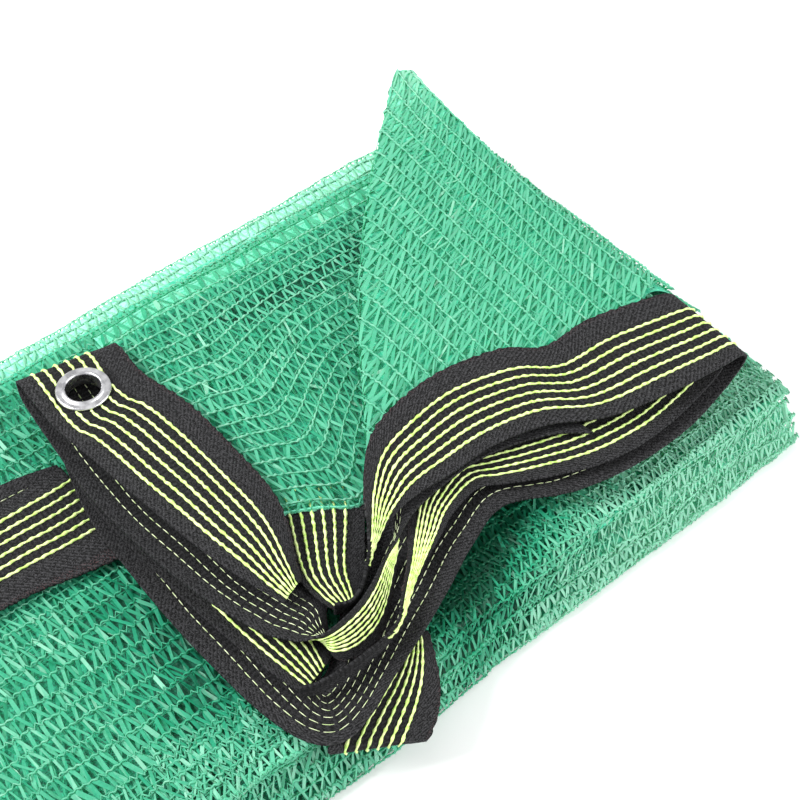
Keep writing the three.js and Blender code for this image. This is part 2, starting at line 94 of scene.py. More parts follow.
# Value at fractional places between rows, on a smooth curve through the rows.
def between(rows, places):
    rows = np.asarray(rows, float)
    last = len(rows) - 1
    i = np.clip(np.floor(places).astype(int), 0, last - 1)
    t = (places - i)[..., None]
    a, b, c, d = (rows[np.clip(i + k, 0, last)] for k in (-1, 0, 1, 2))
    return b + 0.5 * t * (c - a + t * (2 * a - 5 * b + 4 * c - d + t * (3 * (b - c) + d - a)))


# Sum of five sine waves in seeded directions. wave says about how long and how high they are.
def ripple(a, b, wave, seed):
    dice = np.random.default_rng(seed)
    total = 0
    for _ in range(5):
        turn = dice.uniform(0, math.tau)
        pace = math.tau / (wave[0] * dice.uniform(0.7, 1.6))
        total = total + np.sin((a * math.cos(turn) + b * math.sin(turn)) * pace + dice.uniform(0, math.tau))
    return total / 3 * wave[1]


# Vectors made one long.
def unit(vectors):
    return vectors / np.maximum(np.linalg.norm(vectors, axis=-1, keepdims=True), 1e-9)


# How far each point of a row lies along it, from the lengths of the steps between them.
def runUp(steps):
    return np.concatenate([[0], np.cumsum(steps)])


# A sheet given by a grid of points in mm. along and across are the flat cloth's own measures
# of the grid's rows and columns.
class Cloth:
    def __init__(self, points, along, across, side=1):
        self.points = points
        self.along = np.asarray(along, float)
        self.across = np.asarray(across, float)
        self.side = side
        self.normals = unit(side * np.cross(np.gradient(points, axis=0), np.gradient(points, axis=1)))

    # Grid places of the flat point (a, b).
    def places(self, a, b):
        i = np.interp(a, self.along, np.arange(len(self.along)))
        j = np.interp(b, self.across, np.arange(len(self.across)))
        return i, j

    # Point at (a, b) on the flat cloth, moved off it by lift; linear between grid points.
    def at(self, a, b, lift=0.0):
        a, b, lift = np.broadcast_arrays(a, b, lift)
        i, j = self.places(a, b)
        i0 = np.clip(i.astype(int), 0, len(self.points) - 2)
        j0 = np.clip(j.astype(int), 0, self.points.shape[1] - 2)
        s = (i - i0)[..., None]
        t = (j - j0)[..., None]

        def mixed(grid):
            low = (1 - t) * grid[i0, j0] + t * grid[i0, j0 + 1]
            high = (1 - t) * grid[i0 + 1, j0] + t * grid[i0 + 1, j0 + 1]
            return (1 - s) * low + s * high

        return mixed(self.points) + unit(mixed(self.normals)) * lift[..., None]


# One Blender mesh from points in mm and a list of face arrays, each array with its own number
# of corners. marks are float values for each point, kept as attributes.
def addPiece(name, points, faces, material, smooth=True, uv=None, marks=None):
    mesh = bpy.data.meshes.new(name)
    points = np.asarray(points, float).reshape(-1, 3)
    faces = [np.asarray(f, int).reshape(-1, np.shape(f)[-1]) for f in faces]
    smooth = np.broadcast_to(smooth, len(faces))
    corners = np.concatenate([f.ravel() for f in faces])
    counts = np.concatenate([np.full(len(f), f.shape[1]) for f in faces])
    used, corners = np.unique(corners, return_inverse=True)
    points = points[used]
    mesh.vertices.add(len(points))
    mesh.vertices.foreach_set("co", (points * millimetre).ravel())
    mesh.loops.add(len(corners))
    mesh.loops.foreach_set("vertex_index", corners)
    mesh.polygons.add(len(counts))
    mesh.polygons.foreach_set("loop_start", runUp(counts[:-1]))
    mesh.polygons.foreach_set("loop_total", counts)
    mesh.polygons.foreach_set("use_smooth", np.repeat(smooth, [len(f) for f in faces]))
    if uv is not None:
        flat = mesh.uv_layers.new(name="Flat")
        flat.data.foreach_set("uv", np.asarray(uv, float).reshape(-1, 2)[used][corners].ravel())
    for key, values in (marks or {}).items():
        mark = mesh.attributes.new(key, "FLOAT", "POINT")
        mark.data.foreach_set("value", np.asarray(values, float).ravel()[used])
    mesh.update(calc_edges=True)
    mesh.validate()
    mesh.materials.append(material)
    piece = bpy.data.objects.new(name, mesh)
    bpy.context.collection.objects.link(piece)
    triangles = int(sum(len(f) * (f.shape[1] - 2) for f in faces))
    print("made", name, triangles, "triangles")
    return piece


# Rows of tubes from rings[line, ring, side, xyz]. keep[line, stretch] says which stretches
# between two rings are made; both ends of every run are closed.
def tubes(rings, keep):
    lines, count, sides, _ = rings.shape
    index = np.arange(lines * count * sides).reshape(lines, count, sides)
    here, after = index[:, :-1], index[:, 1:]
    turn = np.roll(np.arange(sides), -1)
    quads = np.stack([here, here[..., turn], after[..., turn], after], axis=-1)
    quads = quads[keep].reshape(-1, 4)
    none = np.zeros((lines, 1), bool)
    opens = keep & ~np.concatenate([none, keep[:, :-1]], axis=1)
    closes = keep & ~np.concatenate([keep[:, 1:], none], axis=1)
    caps = np.concatenate([here[opens][:, ::-1], after[closes]])
    return quads, caps


# Closed sheet about a grid of points: the grid moved half the thickness to each side along
# its normals, joined round the rim and round the cells that are cut out.
def thickSheet(points, normals, thickness, cut=None):
    rows, cols, _ = points.shape
    upper = points + normals * thickness / 2
    lower = points - normals * thickness / 2
    index = np.arange(rows * cols).reshape(rows, cols)
    cut = np.zeros((rows - 1, cols - 1), bool) if cut is None else cut
    top = np.stack([index[:-1, :-1], index[1:, :-1], index[1:, 1:], index[:-1, 1:]], axis=-1)[~cut]
    bottom = top[..., ::-1] + rows * cols
    ring = np.concatenate([index[:-1, 0], index[-1, :-1], index[:0:-1, -1], index[0, :0:-1]])
    edges = [np.stack([ring, np.roll(ring, -1)], axis=-1)]
    side, end = index[:, 1:-1], index[1:-1, :]
    for ahead, back, here, beyond in (
        (side[1:], side[:-1], cut[:, :-1], cut[:, 1:]),
        (end[:, :-1], end[:, 1:], cut[:-1], cut[1:]),
    ):
        edges.append(np.stack([ahead, back], axis=-1)[~here & beyond])
        edges.append(np.stack([back, ahead], axis=-1)[here & ~beyond])
    first, follow = np.concatenate(edges).T
    rim = np.stack([first, first + rows * cols, follow + rows * cols, follow], axis=-1)
    quads = np.concatenate([top, bottom, rim])
    return np.concatenate([upper.reshape(-1, 3), lower.reshape(-1, 3)]), quads


# A socket's value in Python expressions: each operator adds its Math node.
class Value:
    def __init__(self, finish, socket):
        self.finish = finish
        self.socket = socket

    def math(self, operation, *others):
        values = dict(enumerate((self, *others)))
        return self.finish.node("ShaderNodeMath", {"operation": operation}, values).value(0)

    def __add__(self, other):
        return self.math("ADD", other)

    def __sub__(self, other):
        return self.math("SUBTRACT", other)

    def __rsub__(self, other):
        return (self * -1) + other

    def __mul__(self, other):
        return self.math("MULTIPLY", other)

    def __truediv__(self, other):
        return self.math("DIVIDE", other)

    def __lt__(self, other):
        return self.math("LESS_THAN", other)

    def __gt__(self, other):
        return self.math("GREATER_THAN", other)

    def __abs__(self):
        return self.math("ABSOLUTE")

    __radd__ = __add__
    __rmul__ = __mul__

    # A sawtooth wave: what is left of the value past its last whole number.
    def part(self):
        return self.math("FRACT")

    def most(self, other):
        return self.math("MAXIMUM", other)

    # 0 below low, 1 above high, smooth between.
    def ease(self, low, high):
        settings = {"interpolation_type": "SMOOTHSTEP"}
        values = {"Value": self, "From Min": low, "From Max": high}
        return self.finish.node("ShaderNodeMapRange", settings, values).value(0)


# A node just added, whose outputs can be used in expressions.
class Made:
    def __init__(self, finish, node):
        self.finish = finish
        self.node = node

    def value(self, output):
        return Value(self.finish, self.node.outputs[output])


# A material and the one method that adds its nodes: the settings are set first, then each socket
# gets a plain value or a link. The other methods are short names for the nodes used most.
class Finish:
    def __init__(self, name):
        self.material = bpy.data.materials.new(name)
        self.material.use_nodes = True
        self.tree = self.material.node_tree
        self.tree.nodes.clear()

    def node(self, kind, settings=None, sockets=None):
        made = self.tree.nodes.new(kind)
        for key, setting in (settings or {}).items():
            setattr(made, key, setting)
        for key, given in (sockets or {}).items():
            if isinstance(given, Value):
                self.tree.links.new(given.socket, made.inputs[key])
            else:
                made.inputs[key].default_value = given
        return Made(self, made)

    def mixColour(self, factor, first, second):
        sockets = {0: factor, 6: first, 7: second}
        return self.node("ShaderNodeMix", {"data_type": "RGBA"}, sockets).value(2)

    # The piece's flat measures in mm: as a vector, along the cloth and across it.
    def flat(self):
        uv = self.node("ShaderNodeUVMap", {"uv_map": "Flat"}).value(0)
        axes = self.node("ShaderNodeSeparateXYZ", None, {0: uv})
        return uv, axes.value(0), axes.value(1)

    def mark(self, name):
        return self.node("ShaderNodeAttribute", {"attribute_name": name}).value(2)

    def place(self):
        return self.node("ShaderNodeTexCoord").value("Object")

    def noise(self, vector, scale, detail=2.0):
        sockets = {"Vector": vector, "Scale": scale, "Detail": detail}
        return self.node("ShaderNodeTexNoise", None, sockets).value(0)

    def bump(self, height, strength, distance):
        sockets = {"Height": height, "Strength": strength, "Distance": distance}
        return self.node("ShaderNodeBump", None, sockets).value(0)

    def surface(self, sockets):
        return self.node("ShaderNodeBsdfPrincipled", None, sockets).value(0)

    def output(self, shader):
        self.node("ShaderNodeOutputMaterial", None, {0: shader})
        return self.material


def rgb(red, green, blue):
    return (red, green, blue, 1.0)


# Knitted plastic yarn: green that runs from deep emerald to pale mint by each yarn's tone, its own with
# painted light and shade added, part of the light passing through.
yarnLook = {
    "dark": rgb(0.004, 0.105, 0.060),
    "deep": rgb(0.034, 0.450, 0.265),
    "clear": rgb(0.180, 0.690, 0.470),
    "pale": rgb(0.420, 0.870, 0.680),
    "glow": rgb(0.110, 0.660, 0.400),
    "roughness": 0.40,
    "through": 0.5,  # share of the light that passes through
    "cloudy": 0.35,  # how much the tone varies along one yarn
}


# The green for a tone: dark below 0, where painted shade takes it, deep at 0, clear by 0.55 and pale by 1.
def greenFor(finish, shade):
    low = finish.mixColour(shade.ease(-0.5, 0.0), yarnLook["dark"], yarnLook["deep"])
    middle = finish.mixColour(shade.ease(0.0, 0.55), low, yarnLook["clear"])
    return finish.mixColour(shade.ease(0.5, 1.0), middle, yarnLook["pale"])


# The yarn's tone, its own with painted light and shade added, and a fine noise give its green; half of it
# is glossy and half lets light by.
def yarnMaterial(name):
    finish = Finish(name)
    cloudy = finish.noise(finish.place(), 900.0)
    surface = finish.surface({
        "Base Color": greenFor(finish, finish.mark("tone") + (cloudy - 0.5) * yarnLook["cloudy"]),
        "Roughness": yarnLook["roughness"],
    })
    glow = finish.node("ShaderNodeBsdfTranslucent", None, {"Color": yarnLook["glow"]}).value(0)
    sockets = {0: yarnLook["through"], 1: surface, 2: glow}
    return finish.output(finish.node("ShaderNodeMixShader", None, sockets).value(0))


# How finely yarns are made: full close by, fullest on the pocket, spare behind and far off. In each,
# rings in a stitch of the chain, sides of the chain, and rings in the middle of a flat yarn.
full = {"rings": 4, "sides": 4, "mids": 2}
fullest = {**full, "mids": 3}
spare = {"rings": 2, "sides": 3, "mids": 1}

# One knit for each part of the net. In mm: gap between wales, length of a stitch, radius of the chain, its
# sway, width of the flat yarn, and how far a stitch holds it. Then the slant of the courses, how much the
# wales wander, the tone of the flats and how far it spreads, the tone of the chain, and the share of flats
# with a painted glint, pale as if they caught the light.
knitColumns = (
    "gap", "stitch", "chain", "sway", "flat", "hold", "skew", "wander", "tone", "spread", "line", "glint",
)
knits = {
    "bundle": (full, 6.9, 2.6, 0.33, 0.72, 1.25, 0.60, -0.16, 1.6, 0.10, 0.36, 0.66, 0.015),
    "upper": (full, 6.3, 2.3, 0.36, 0.20, 0.95, 0.20, 0.0, 0.4, 0.08, 0.42, 0.74, 0.01),
    "pocket": (fullest, 7.7, 2.1, 0.40, 0.16, 0.95, 0.20, 0.80, 0.6, 0.25, 0.42, 0.62, 0.03),
    "under": (spare, 7.2, 2.1, 0.38, 0.16, 0.90, 0.20, 0.45, 0.9, 0.22, 0.40, 0.40, 0.02),
    "plain": (spare, 6.5, 3.2, 0.34, 0.20, 1.45, 0.50, 0.06, 0.8, 0.06, 0.40, 0.50, 0.02),
    "fold": (spare, 5.0, 2.3, 0.38, 0.50, 1.05, 0.30, 0.10, 1.6, 0.34, 0.60, 0.60, 0.05),
    "side": (full, 5.2, 2.2, 0.44, 0.70, 1.05, 0.20, 0.30, 2.4, 0.36, 0.70, 0.66, 0.16),
}
knits = {name: {**make, **dict(zip(knitColumns, row))} for name, (make, *row) in knits.items()}


# Cloth behind the yarns: the same wales and zigzags drawn on it, as a cut-out pattern where
# cover is 1 and as a fine difference of tone on closed cloth where cover is 2.
def clothMaterial():
    finish = Finish("greenKnit")
    uv, along, across = finish.flat()
    cover = finish.mark("cover")
    loose = finish.noise(uv, 0.35) * 1.2
    wale = (across / knits["plain"]["gap"] + loose * 0.12).part()
    zig = abs((along / (2 * knits["plain"]["stitch"]) + loose * 0.10).part() * 2 - 1)
    drawn = (abs(wale - 0.5) > 0.43).most(abs(wale - zig) < 0.22)
    grain = finish.noise(uv, 1.1)
    shade = finish.mark("tone") + drawn * 0.16 + (grain - 0.5) * 1.1
    return finish.output(finish.surface({
        "Base Color": greenFor(finish, shade),
        "Roughness": 0.5,
        "Alpha": (cover > 1.5).most(drawn) * (cover > 0.5),
        "Normal": finish.bump(grain, 0.5, 0.0006),
    }))


yarnGreen = yarnMaterial("yarnGreen")
greenKnit = clothMaterial()

lowerBundle = {
    "layers": [  # height of the layer, y of its near and far folds
        (0.8, -107, 104),
        (5.4, -107, 107),
        (10.0, -103, 107),
        (14.6, -103, 104.5),
        (19.2, -98, 104.5),
        (23.8, -98, 95),
    ],
    "stations": [  # x, then how far the near folds, far folds and upper layers wander
        (-205, 3.5, -4.0, -0.6),
        (-165, 1.6, -1.5, 0.1),
        (-120, 0.8, 0.0, -0.3),
        (-75, 2.0, -1.2, 0.2),
        (-30, 1.0, -0.6, 0.0),
        (15, 1.2, 0.0, 0.0),
        (60, 4.6, 2.2, 0.0),
        (110, 4.2, 2.4, 0.2),
        (160, 5.4, 3.6, 0.0),
        (205, 5.8, 1.0, -0.4),
    ],
    "step": 5,  # between stations on the made cloth
    "swell": (120, 0.2),  # length and height of the waves in a layer
    "drift": (90, 0.8),  # and of those in its folds
    # backing tones under the top layer, darker there as painted shade in the holes, and elsewhere
    "backing": {"inset": 0.986, "reach": 15, "tones": (-0.22, 0.36)},
}

upperBundle = {
    "layers": [
        (23.4, -13, 6),
        (27.8, -13, 84),
        (31.7, -13, 84),
        (35.5, -13, 70),
        (39.3, -13, 70),
    ],
    "stations": [  # x, y of the top layer's near edge, how far the far folds wander
        (17.5, -30, -1.0),
        (32, -37, 0.0),
        (46, -45, 0.5),
        (62, -29, 0.0),
        (78, -16, -0.6),
        (115, -15, 0.6),
        (155, -15, 0.0),
        (188, -15, -1.5),
    ],
    "step": 3,
    "crease": ((47.3, 51.9), (122.5, 50.6)),  # from and to, x and y
    "turnedUnder": (2.0, 11.0),  # drop and width of the hem along the top layer's near edge
    "pocketFold": {"from": (60, -35), "away": (0.72, -0.69), "margin": 20},
    "share": 0.42,  # of the bundle's length
    # backing tones under the top layer, darker there as painted shade in the holes, and elsewhere
    "backing": {"inset": 0.974, "reach": 42, "tones": (-0.30, 0.36)},
}
lowerTopLayer = len(lowerBundle["layers"]) - 1
upperTopLayer = len(upperBundle["layers"]) - 1


# Stations spread evenly along x, on smooth curves through the table.
def spreadStations(table, step):
    table = np.asarray(table, float)
    x = np.arange(table[0, 0], table[-1, 0] + step / 2, step)
    places = np.interp(x, table[:, 0], np.arange(len(table)))
    return x, between(table, places)


# Back-and-forth sheet: each layer runs straight across in y, and a half circle joins it to the
# next. Returns the cloth and, for each column, the layer that it belongs to.
def foldedCloth(x, heights, nears, fars, side, layerSteps=16, foldSteps=6):
    columns = []
    owners = []
    for k, height in enumerate(heights):
        start, end = (fars[k], nears[k]) if k % 2 == 0 else (nears[k], fars[k])
        for t in np.linspace(0, 1, layerSteps):
            columns.append(np.stack([x, start + (end - start) * t, height], axis=-1))
            owners.append(k)
        if k + 1 < len(heights):
            radius = (heights[k + 1] - height) / 2
            outward = -1 if k % 2 == 0 else 1
            for t in np.linspace(0, math.pi, foldSteps + 1)[1:-1]:
                swing = end + outward * abs(radius) * math.sin(t)
                columns.append(np.stack([x, swing, height + radius * (1 - math.cos(t))], axis=-1))
                owners.append(k + 0.5)
    points = np.stack(columns, axis=1)
    steps = np.linalg.norm(np.diff(points, axis=1), axis=-1).mean(axis=0)
    return Cloth(points, x, runUp(steps), side), np.array(owners)


# Heights and folds of the lower layers: each row of the table, moved by the stations' values and
# by long ripples. Two layers that share a fold share its ripple.
def lowerCloth():
    x, station = spreadStations(lowerBundle["stations"], lowerBundle["step"])
    layers = lowerBundle["layers"]
    drift = lowerBundle["drift"]
    heights, nears, fars = [], [], []
    for k, (height, near, far) in enumerate(layers):
        wave = ripple(x, 90 * k, lowerBundle["swell"], 11 + k) * (k > 0)
        heights.append(height + station[:, 3] * k / len(layers) + wave)
        nears.append(near + station[:, 1] + ripple(x, 50 * (k // 2), drift, 31))
        fars.append(far + station[:, 2] + ripple(x, 50 * ((k + 1) // 2), drift, 57))
    return foldedCloth(x, heights, nears, fars, 1)


nearFace = {
    "grooves": (34, 0.9),  # length and depth of their waves, and how wide the face counts for them
    "wide": 60,
    "lowest": 1.1,  # no lower than this, nor nearer than so far past the solid's box
    "past": 4,
}


# The near face of the bundle: over the near folds from the top layer to the floor, with shallow
# grooves where one fold lies on the next. It stays off the floor and near the solid's box.
def nearCloth():
    top = np.flatnonzero(lowerOwner == lowerTopLayer)[:3][::-1]
    folds = [np.flatnonzero(lowerOwner == lowerTopLayer - k)[::-1] for k in (0.5, 2.5, 4.5)]
    columns = np.concatenate([top, *folds])[::-1]
    points = lower.points[:, columns].copy()
    share = np.linspace(0, 1, len(columns))[None, :]
    grooves = ripple(points[..., 0], share * nearFace["wide"], nearFace["grooves"], 71)
    points[..., 1] -= grooves * np.sin(math.pi * share)
    points[..., 1] = np.maximum(points[..., 1], cadBox[0][1] / millimetre - nearFace["past"])
    points[..., 2] = np.maximum(points[..., 2], nearFace["lowest"])
    steps = np.linalg.norm(np.diff(points, axis=1), axis=-1).mean(axis=0)
    return Cloth(points, lower.along, runUp(steps), 1)


# The upper layers lie level; the topmost has a wandering near edge and a hem turned under it.
def upperCloth():
    x, station = spreadStations(upperBundle["stations"], upperBundle["step"])
    layers = upperBundle["layers"]
    drop, hem = upperBundle["turnedUnder"]
    heights, nears, fars = [], [], []
    for k, (height, near, far) in enumerate(layers):
        heights.append(height + 0 * x)
        nears.append(station[:, 1] if k == upperTopLayer else near + 0 * x)
        fars.append(far + (station[:, 2] if k else 0 * x))
    heights.append(heights[-1] - drop)
    nears.append(nears[-1])
    fars.append(nears[-1] + hem)
    return foldedCloth(x, heights, nears, fars, -1)


pocketShape = {
    "mouth": [  # x, y, z of the mouth, then how far the cloth swells between mouth and apex
        (86, -22, 42.0, -3, 3, 0.5),
        (66, -31, 42.0, -4.5, 4.5, 0.8),
        (55, -38, 42.5, -5.5, 5.5, 1),
        (50.5, -41, 44.4, -5.5, 5.5, 1),
        (53, -40.5, 45.8, -5.5, 5.5, 1),
        (60, -35, 45.9, -5, 5, 0.9),
        (72, -29.5, 45.8, -3.5, 3.5, 0.7),
        (95, -26.5, 45.7, -2, 2, 0.4),
        (118, -31, 45.2, -1, 1, 0.2),
        (136, -38.5, 44.8, -1, 0, 0.2),
        (156, -40, 45.4, -2, 0, 0.1),
        (175, -41, 45.2, -3, 0, 0.0),
        (186, -38.5, 44.4, -4, -0.5, 0.0),
        (194, -43.5, 41.4, -4, -1, 0.0),
        (197.8, -58, 34.4, -4, -1, -0.5),
        (200.8, -70, 28.5, -3.5, -1, -0.5),
        (202.5, -78, 23.6, -3, -1, 0.0),
    ],
    "apex": (190.5, 112.5, 43.4),
    "middle": (125, -35, 43.4),
    "apexScale": (0.10, 0.10, 0.5),  # the mouth's outline shrinks to this at the apex
    "edgeRow": 12,  # the mouth's row that the wales run parallel to
    "dome": 7.5,  # how far the tip bulges out along the middle ruling
    "domeRows": (8.2, 4.2),  # the mouth's row at the bulge, and the rows to each side of it
    "sag": (46, 0.5),  # length and height of the waves in it
    "wrap": 9.0,  # how far yarns run on past the fold, gathered along the cloth's hidden edge
    "overrun": (3.0, 1.0),  # and how far past the tip and the mouth
    "columns": 160,
    "steps": 60,
}


# The pocket as a cloth of straight rulings from its mouth to a small copy of the mouth at the
# apex, swollen between the two. Its flat measures are polar: a runs from the apex along the right
# edge and b away from it, so that a flat point has a ruling (by its angle) and a share of the
# ruling's length.
class PocketCloth(Cloth):
    def __init__(self):
        table = np.asarray(pocketShape["mouth"], float)
        places = np.linspace(0, len(table) - 1, pocketShape["columns"] + 1)
        rows = between(table, places)
        mouth, swell = rows[:, :3], rows[:, 3:]
        apex, middle = np.array(pocketShape["apex"]), np.array(pocketShape["middle"])
        self.tip = pocketShape["apexScale"][0]
        tip = (mouth - middle) * np.array(pocketShape["apexScale"]) + apex
        centre = (apex - self.tip * middle) / (1 - self.tip)
        along = np.linspace(0, 1, pocketShape["steps"] + 1)
        v = along[:, None, None]
        points = mouth + (tip - mouth) * v + swell * np.sin(math.pi * v)
        domeRow, domeHalf = pocketShape["domeRows"]
        bulge = np.clip(1 - ((places - domeRow) / domeHalf) ** 2, 0, 1)[:, None]
        points = points + pocketShape["dome"] * unit(tip - mouth) * bulge * v**10
        sag = ripple(points[..., 0], points[..., 1], pocketShape["sag"], 5)
        points[..., 2] += sag * np.sin(math.pi * v[..., 0])
        rulings = mouth - centre
        self.lengths = np.linalg.norm(rulings, axis=1)
        toward = rulings / self.lengths[:, None]
        turns = np.arccos(np.clip((toward[1:] * toward[:-1]).sum(axis=1), -1, 1))
        angle = runUp(turns)
        self.angles = np.interp(pocketShape["edgeRow"], places, angle) - angle
        super().__init__(points, along, np.arange(len(places)), side=-1)

    # For a flat point: distance from the rulings' centre, angle, and the ruling it lies on, as a
    # grid column and a length.
    def ruling(self, a, b):
        turn = np.arctan2(b, a)
        column = np.interp(turn, self.angles[::-1], self.across[::-1])
        return np.hypot(a, b), turn, column, np.interp(column, self.across, self.lengths)

    def places(self, a, b):
        reach, _, column, length = self.ruling(a, b)
        share = np.clip((1 - reach / length) / (1 - self.tip), 0, 1)
        return share * pocketShape["steps"], column

    # True where the flat point is on the cloth or just past its edge.
    def holds(self, a, b):
        reach, turn, _, length = self.ruling(a, b)
        wrap = pocketShape["wrap"] / np.maximum(reach, pocketShape["wrap"])
        beyondTip, beyondMouth = pocketShape["overrun"]
        inside = (turn < self.angles[0] + wrap) & (turn > self.angles[-1] - wrap)
        return inside & (reach < length + beyondMouth) & (reach > self.tip * length - beyondTip)


# Tubes on a cloth along a path (a, b, high) of rings, with a corner offset for each side.
def tubesOn(cloth, pathA, pathB, high, cornerA, cornerB, cornerHigh):
    return cloth.at(
        pathA[..., None] + cornerA,
        pathB[..., None] + cornerB,
        high[..., None] + cornerHigh,
    )


# How far stitches stray from an even knit, in mm: by ripples, given as length and height, and by
# the usual random amounts.
stray = {
    "waleWaves": ((75, 1.1), (16, 0.35)),
    "courseWave": (60, 0.6),
    "slantWave": (90, 1),
    "heightWave": (11, 0.22),
    "wale": 0.5,
    "stitch": 0.18,
    "height": 0.08,
    "rest": 0.2,  # height of a stitch off the cloth
}


# Where the stitches lie: courses a stitch apart along the cloth and wales a gap apart across it,
# slanted by skew, then strayed by ripples and by chance. Returns the wales' numbers, then each
# stitch's flat place, its height and whether it is made.
def stitchPlaces(knit, acrossSpan, alongSpan, keep, seed, sink, dice):
    gap, stitch, skew = knit["gap"], knit["stitch"], knit["skew"]
    wale = np.arange(math.ceil(acrossSpan[0] / gap), math.floor(acrossSpan[1] / gap) + 1)[:, None]
    reach = abs(skew) * (acrossSpan[1] - acrossSpan[0]) / 2 + 4
    course = np.arange((alongSpan[0] - reach) // stitch, (alongSpan[1] + reach) // stitch + 1)[None, :]
    a, b = np.broadcast_arrays(course * stitch, wale * gap)
    longWave, shortWave = stray["waleWaves"]
    b = b + (ripple(a, b, longWave, seed + 1) + ripple(a, b, shortWave, seed + 4)) * knit["wander"]
    a = a + dice.normal(0, stray["wale"], (len(wale), 1))
    a = a + ripple(course * stitch, wale * 1000.0, stray["courseWave"], seed + 2)
    a = a + skew * (wale * gap - (acrossSpan[0] + acrossSpan[1]) / 2)
    a = a + skew * gap * ripple(wale * gap, 0, stray["slantWave"], seed + 7)
    a = a + dice.normal(0, stray["stitch"], a.shape)
    made = keep(a, b) & (a > alongSpan[0] - stitch) & (a < alongSpan[1] + stitch)
    a = np.clip(a, *alongSpan)
    high = stray["rest"] - sink + ripple(a, b, stray["heightWave"], seed + 3)
    return wale, a, b, high + dice.normal(0, stray["height"], a.shape), made


chainForm = {
    "rest": 0.12,  # height off the stitch, and how much higher it is half way
    "hump": 0.14,
    "plump": (1.05, 0.38, 0.08),  # mean radius, its swell in each stitch, and how late that comes
    "uneven": 0.16,
    "squash": 0.8,
    "tones": 0.10,
}


# A chain along every wale. Its rings run straight from stitch to stitch, and once in each stitch
# the tube swells, sways to one side as a sine wave and humps up as half a sine wave.
def chainYarns(cloth, knit, a, b, high, made, dice):
    rings, sides = knit["rings"], knit["sides"]
    phase = np.arange(rings) / rings
    lean = dice.choice([-1.0, 1.0], (*b.shape, 1)) * 0.5 + 0.5
    nextA = np.concatenate([a[:, 1:], a[:, -1:] + knit["stitch"]], axis=1)
    nextB = np.concatenate([b[:, 1:], b[:, -1:]], axis=1)
    ringA = a[..., None] + (nextA - a)[..., None] * phase
    ringB = b[..., None] + (nextB - b)[..., None] * phase
    ringB = ringB + knit["sway"] * np.sin(math.tau * phase) * (0.4 + lean)
    ringHigh = high[..., None] + chainForm["rest"] + chainForm["hump"] * np.sin(math.pi * phase)
    mean, swell, late = chainForm["plump"]
    radius = knit["chain"] * (mean - swell * np.cos(math.tau * (phase - late)))
    radius = radius * (1 + chainForm["uneven"] * chance(dice, ringA.shape, 1.6))
    ringA, ringB, ringHigh, radius = (grid.reshape(len(b), -1) for grid in (ringA, ringB, ringHigh, radius))
    radius = radius[..., None]
    turn = (np.arange(sides) / sides * math.tau) * cloth.side + math.pi / 2
    points = tubesOn(
        cloth, ringA, ringB, ringHigh,
        0 * turn, radius * np.cos(turn), chainForm["squash"] * radius * np.sin(turn),
    )
    quads, caps = tubes(points, np.repeat(made, rings, axis=1)[:, :-1])
    tone = np.clip(knit["line"] + chainForm["tones"] * dice.normal(0, 1, b.shape), 0, 1)
    return points.reshape(-1, 3), quads, caps, np.repeat(tone.ravel(), rings * sides)


flatForm = {
    "thickness": 0.16,
    "caught": 0.5,  # share of its width where a chain catches it
    "widths": (0.68, 1.16),  # narrowest and widest share
    "waleWidths": 0.22,
    "widthWave": (70, 0.15),
    "mids": (0.12, 0.88),  # where the first and last rings of its wide middle lie
    "overlap": 0.2,  # how far it reaches past the chain, and how far below it
    "below": 0.12,
    "caughtAt": 0.25,  # usual random amounts: place of the catch, tilt and twist, bend, lift
    "tilt": 0.30,
    "twist": 0.12,
    "bend": 0.2,
    "lift": (0.05, 0.18),
    "glint": 1.0,  # tone of a flat with a painted glint
}


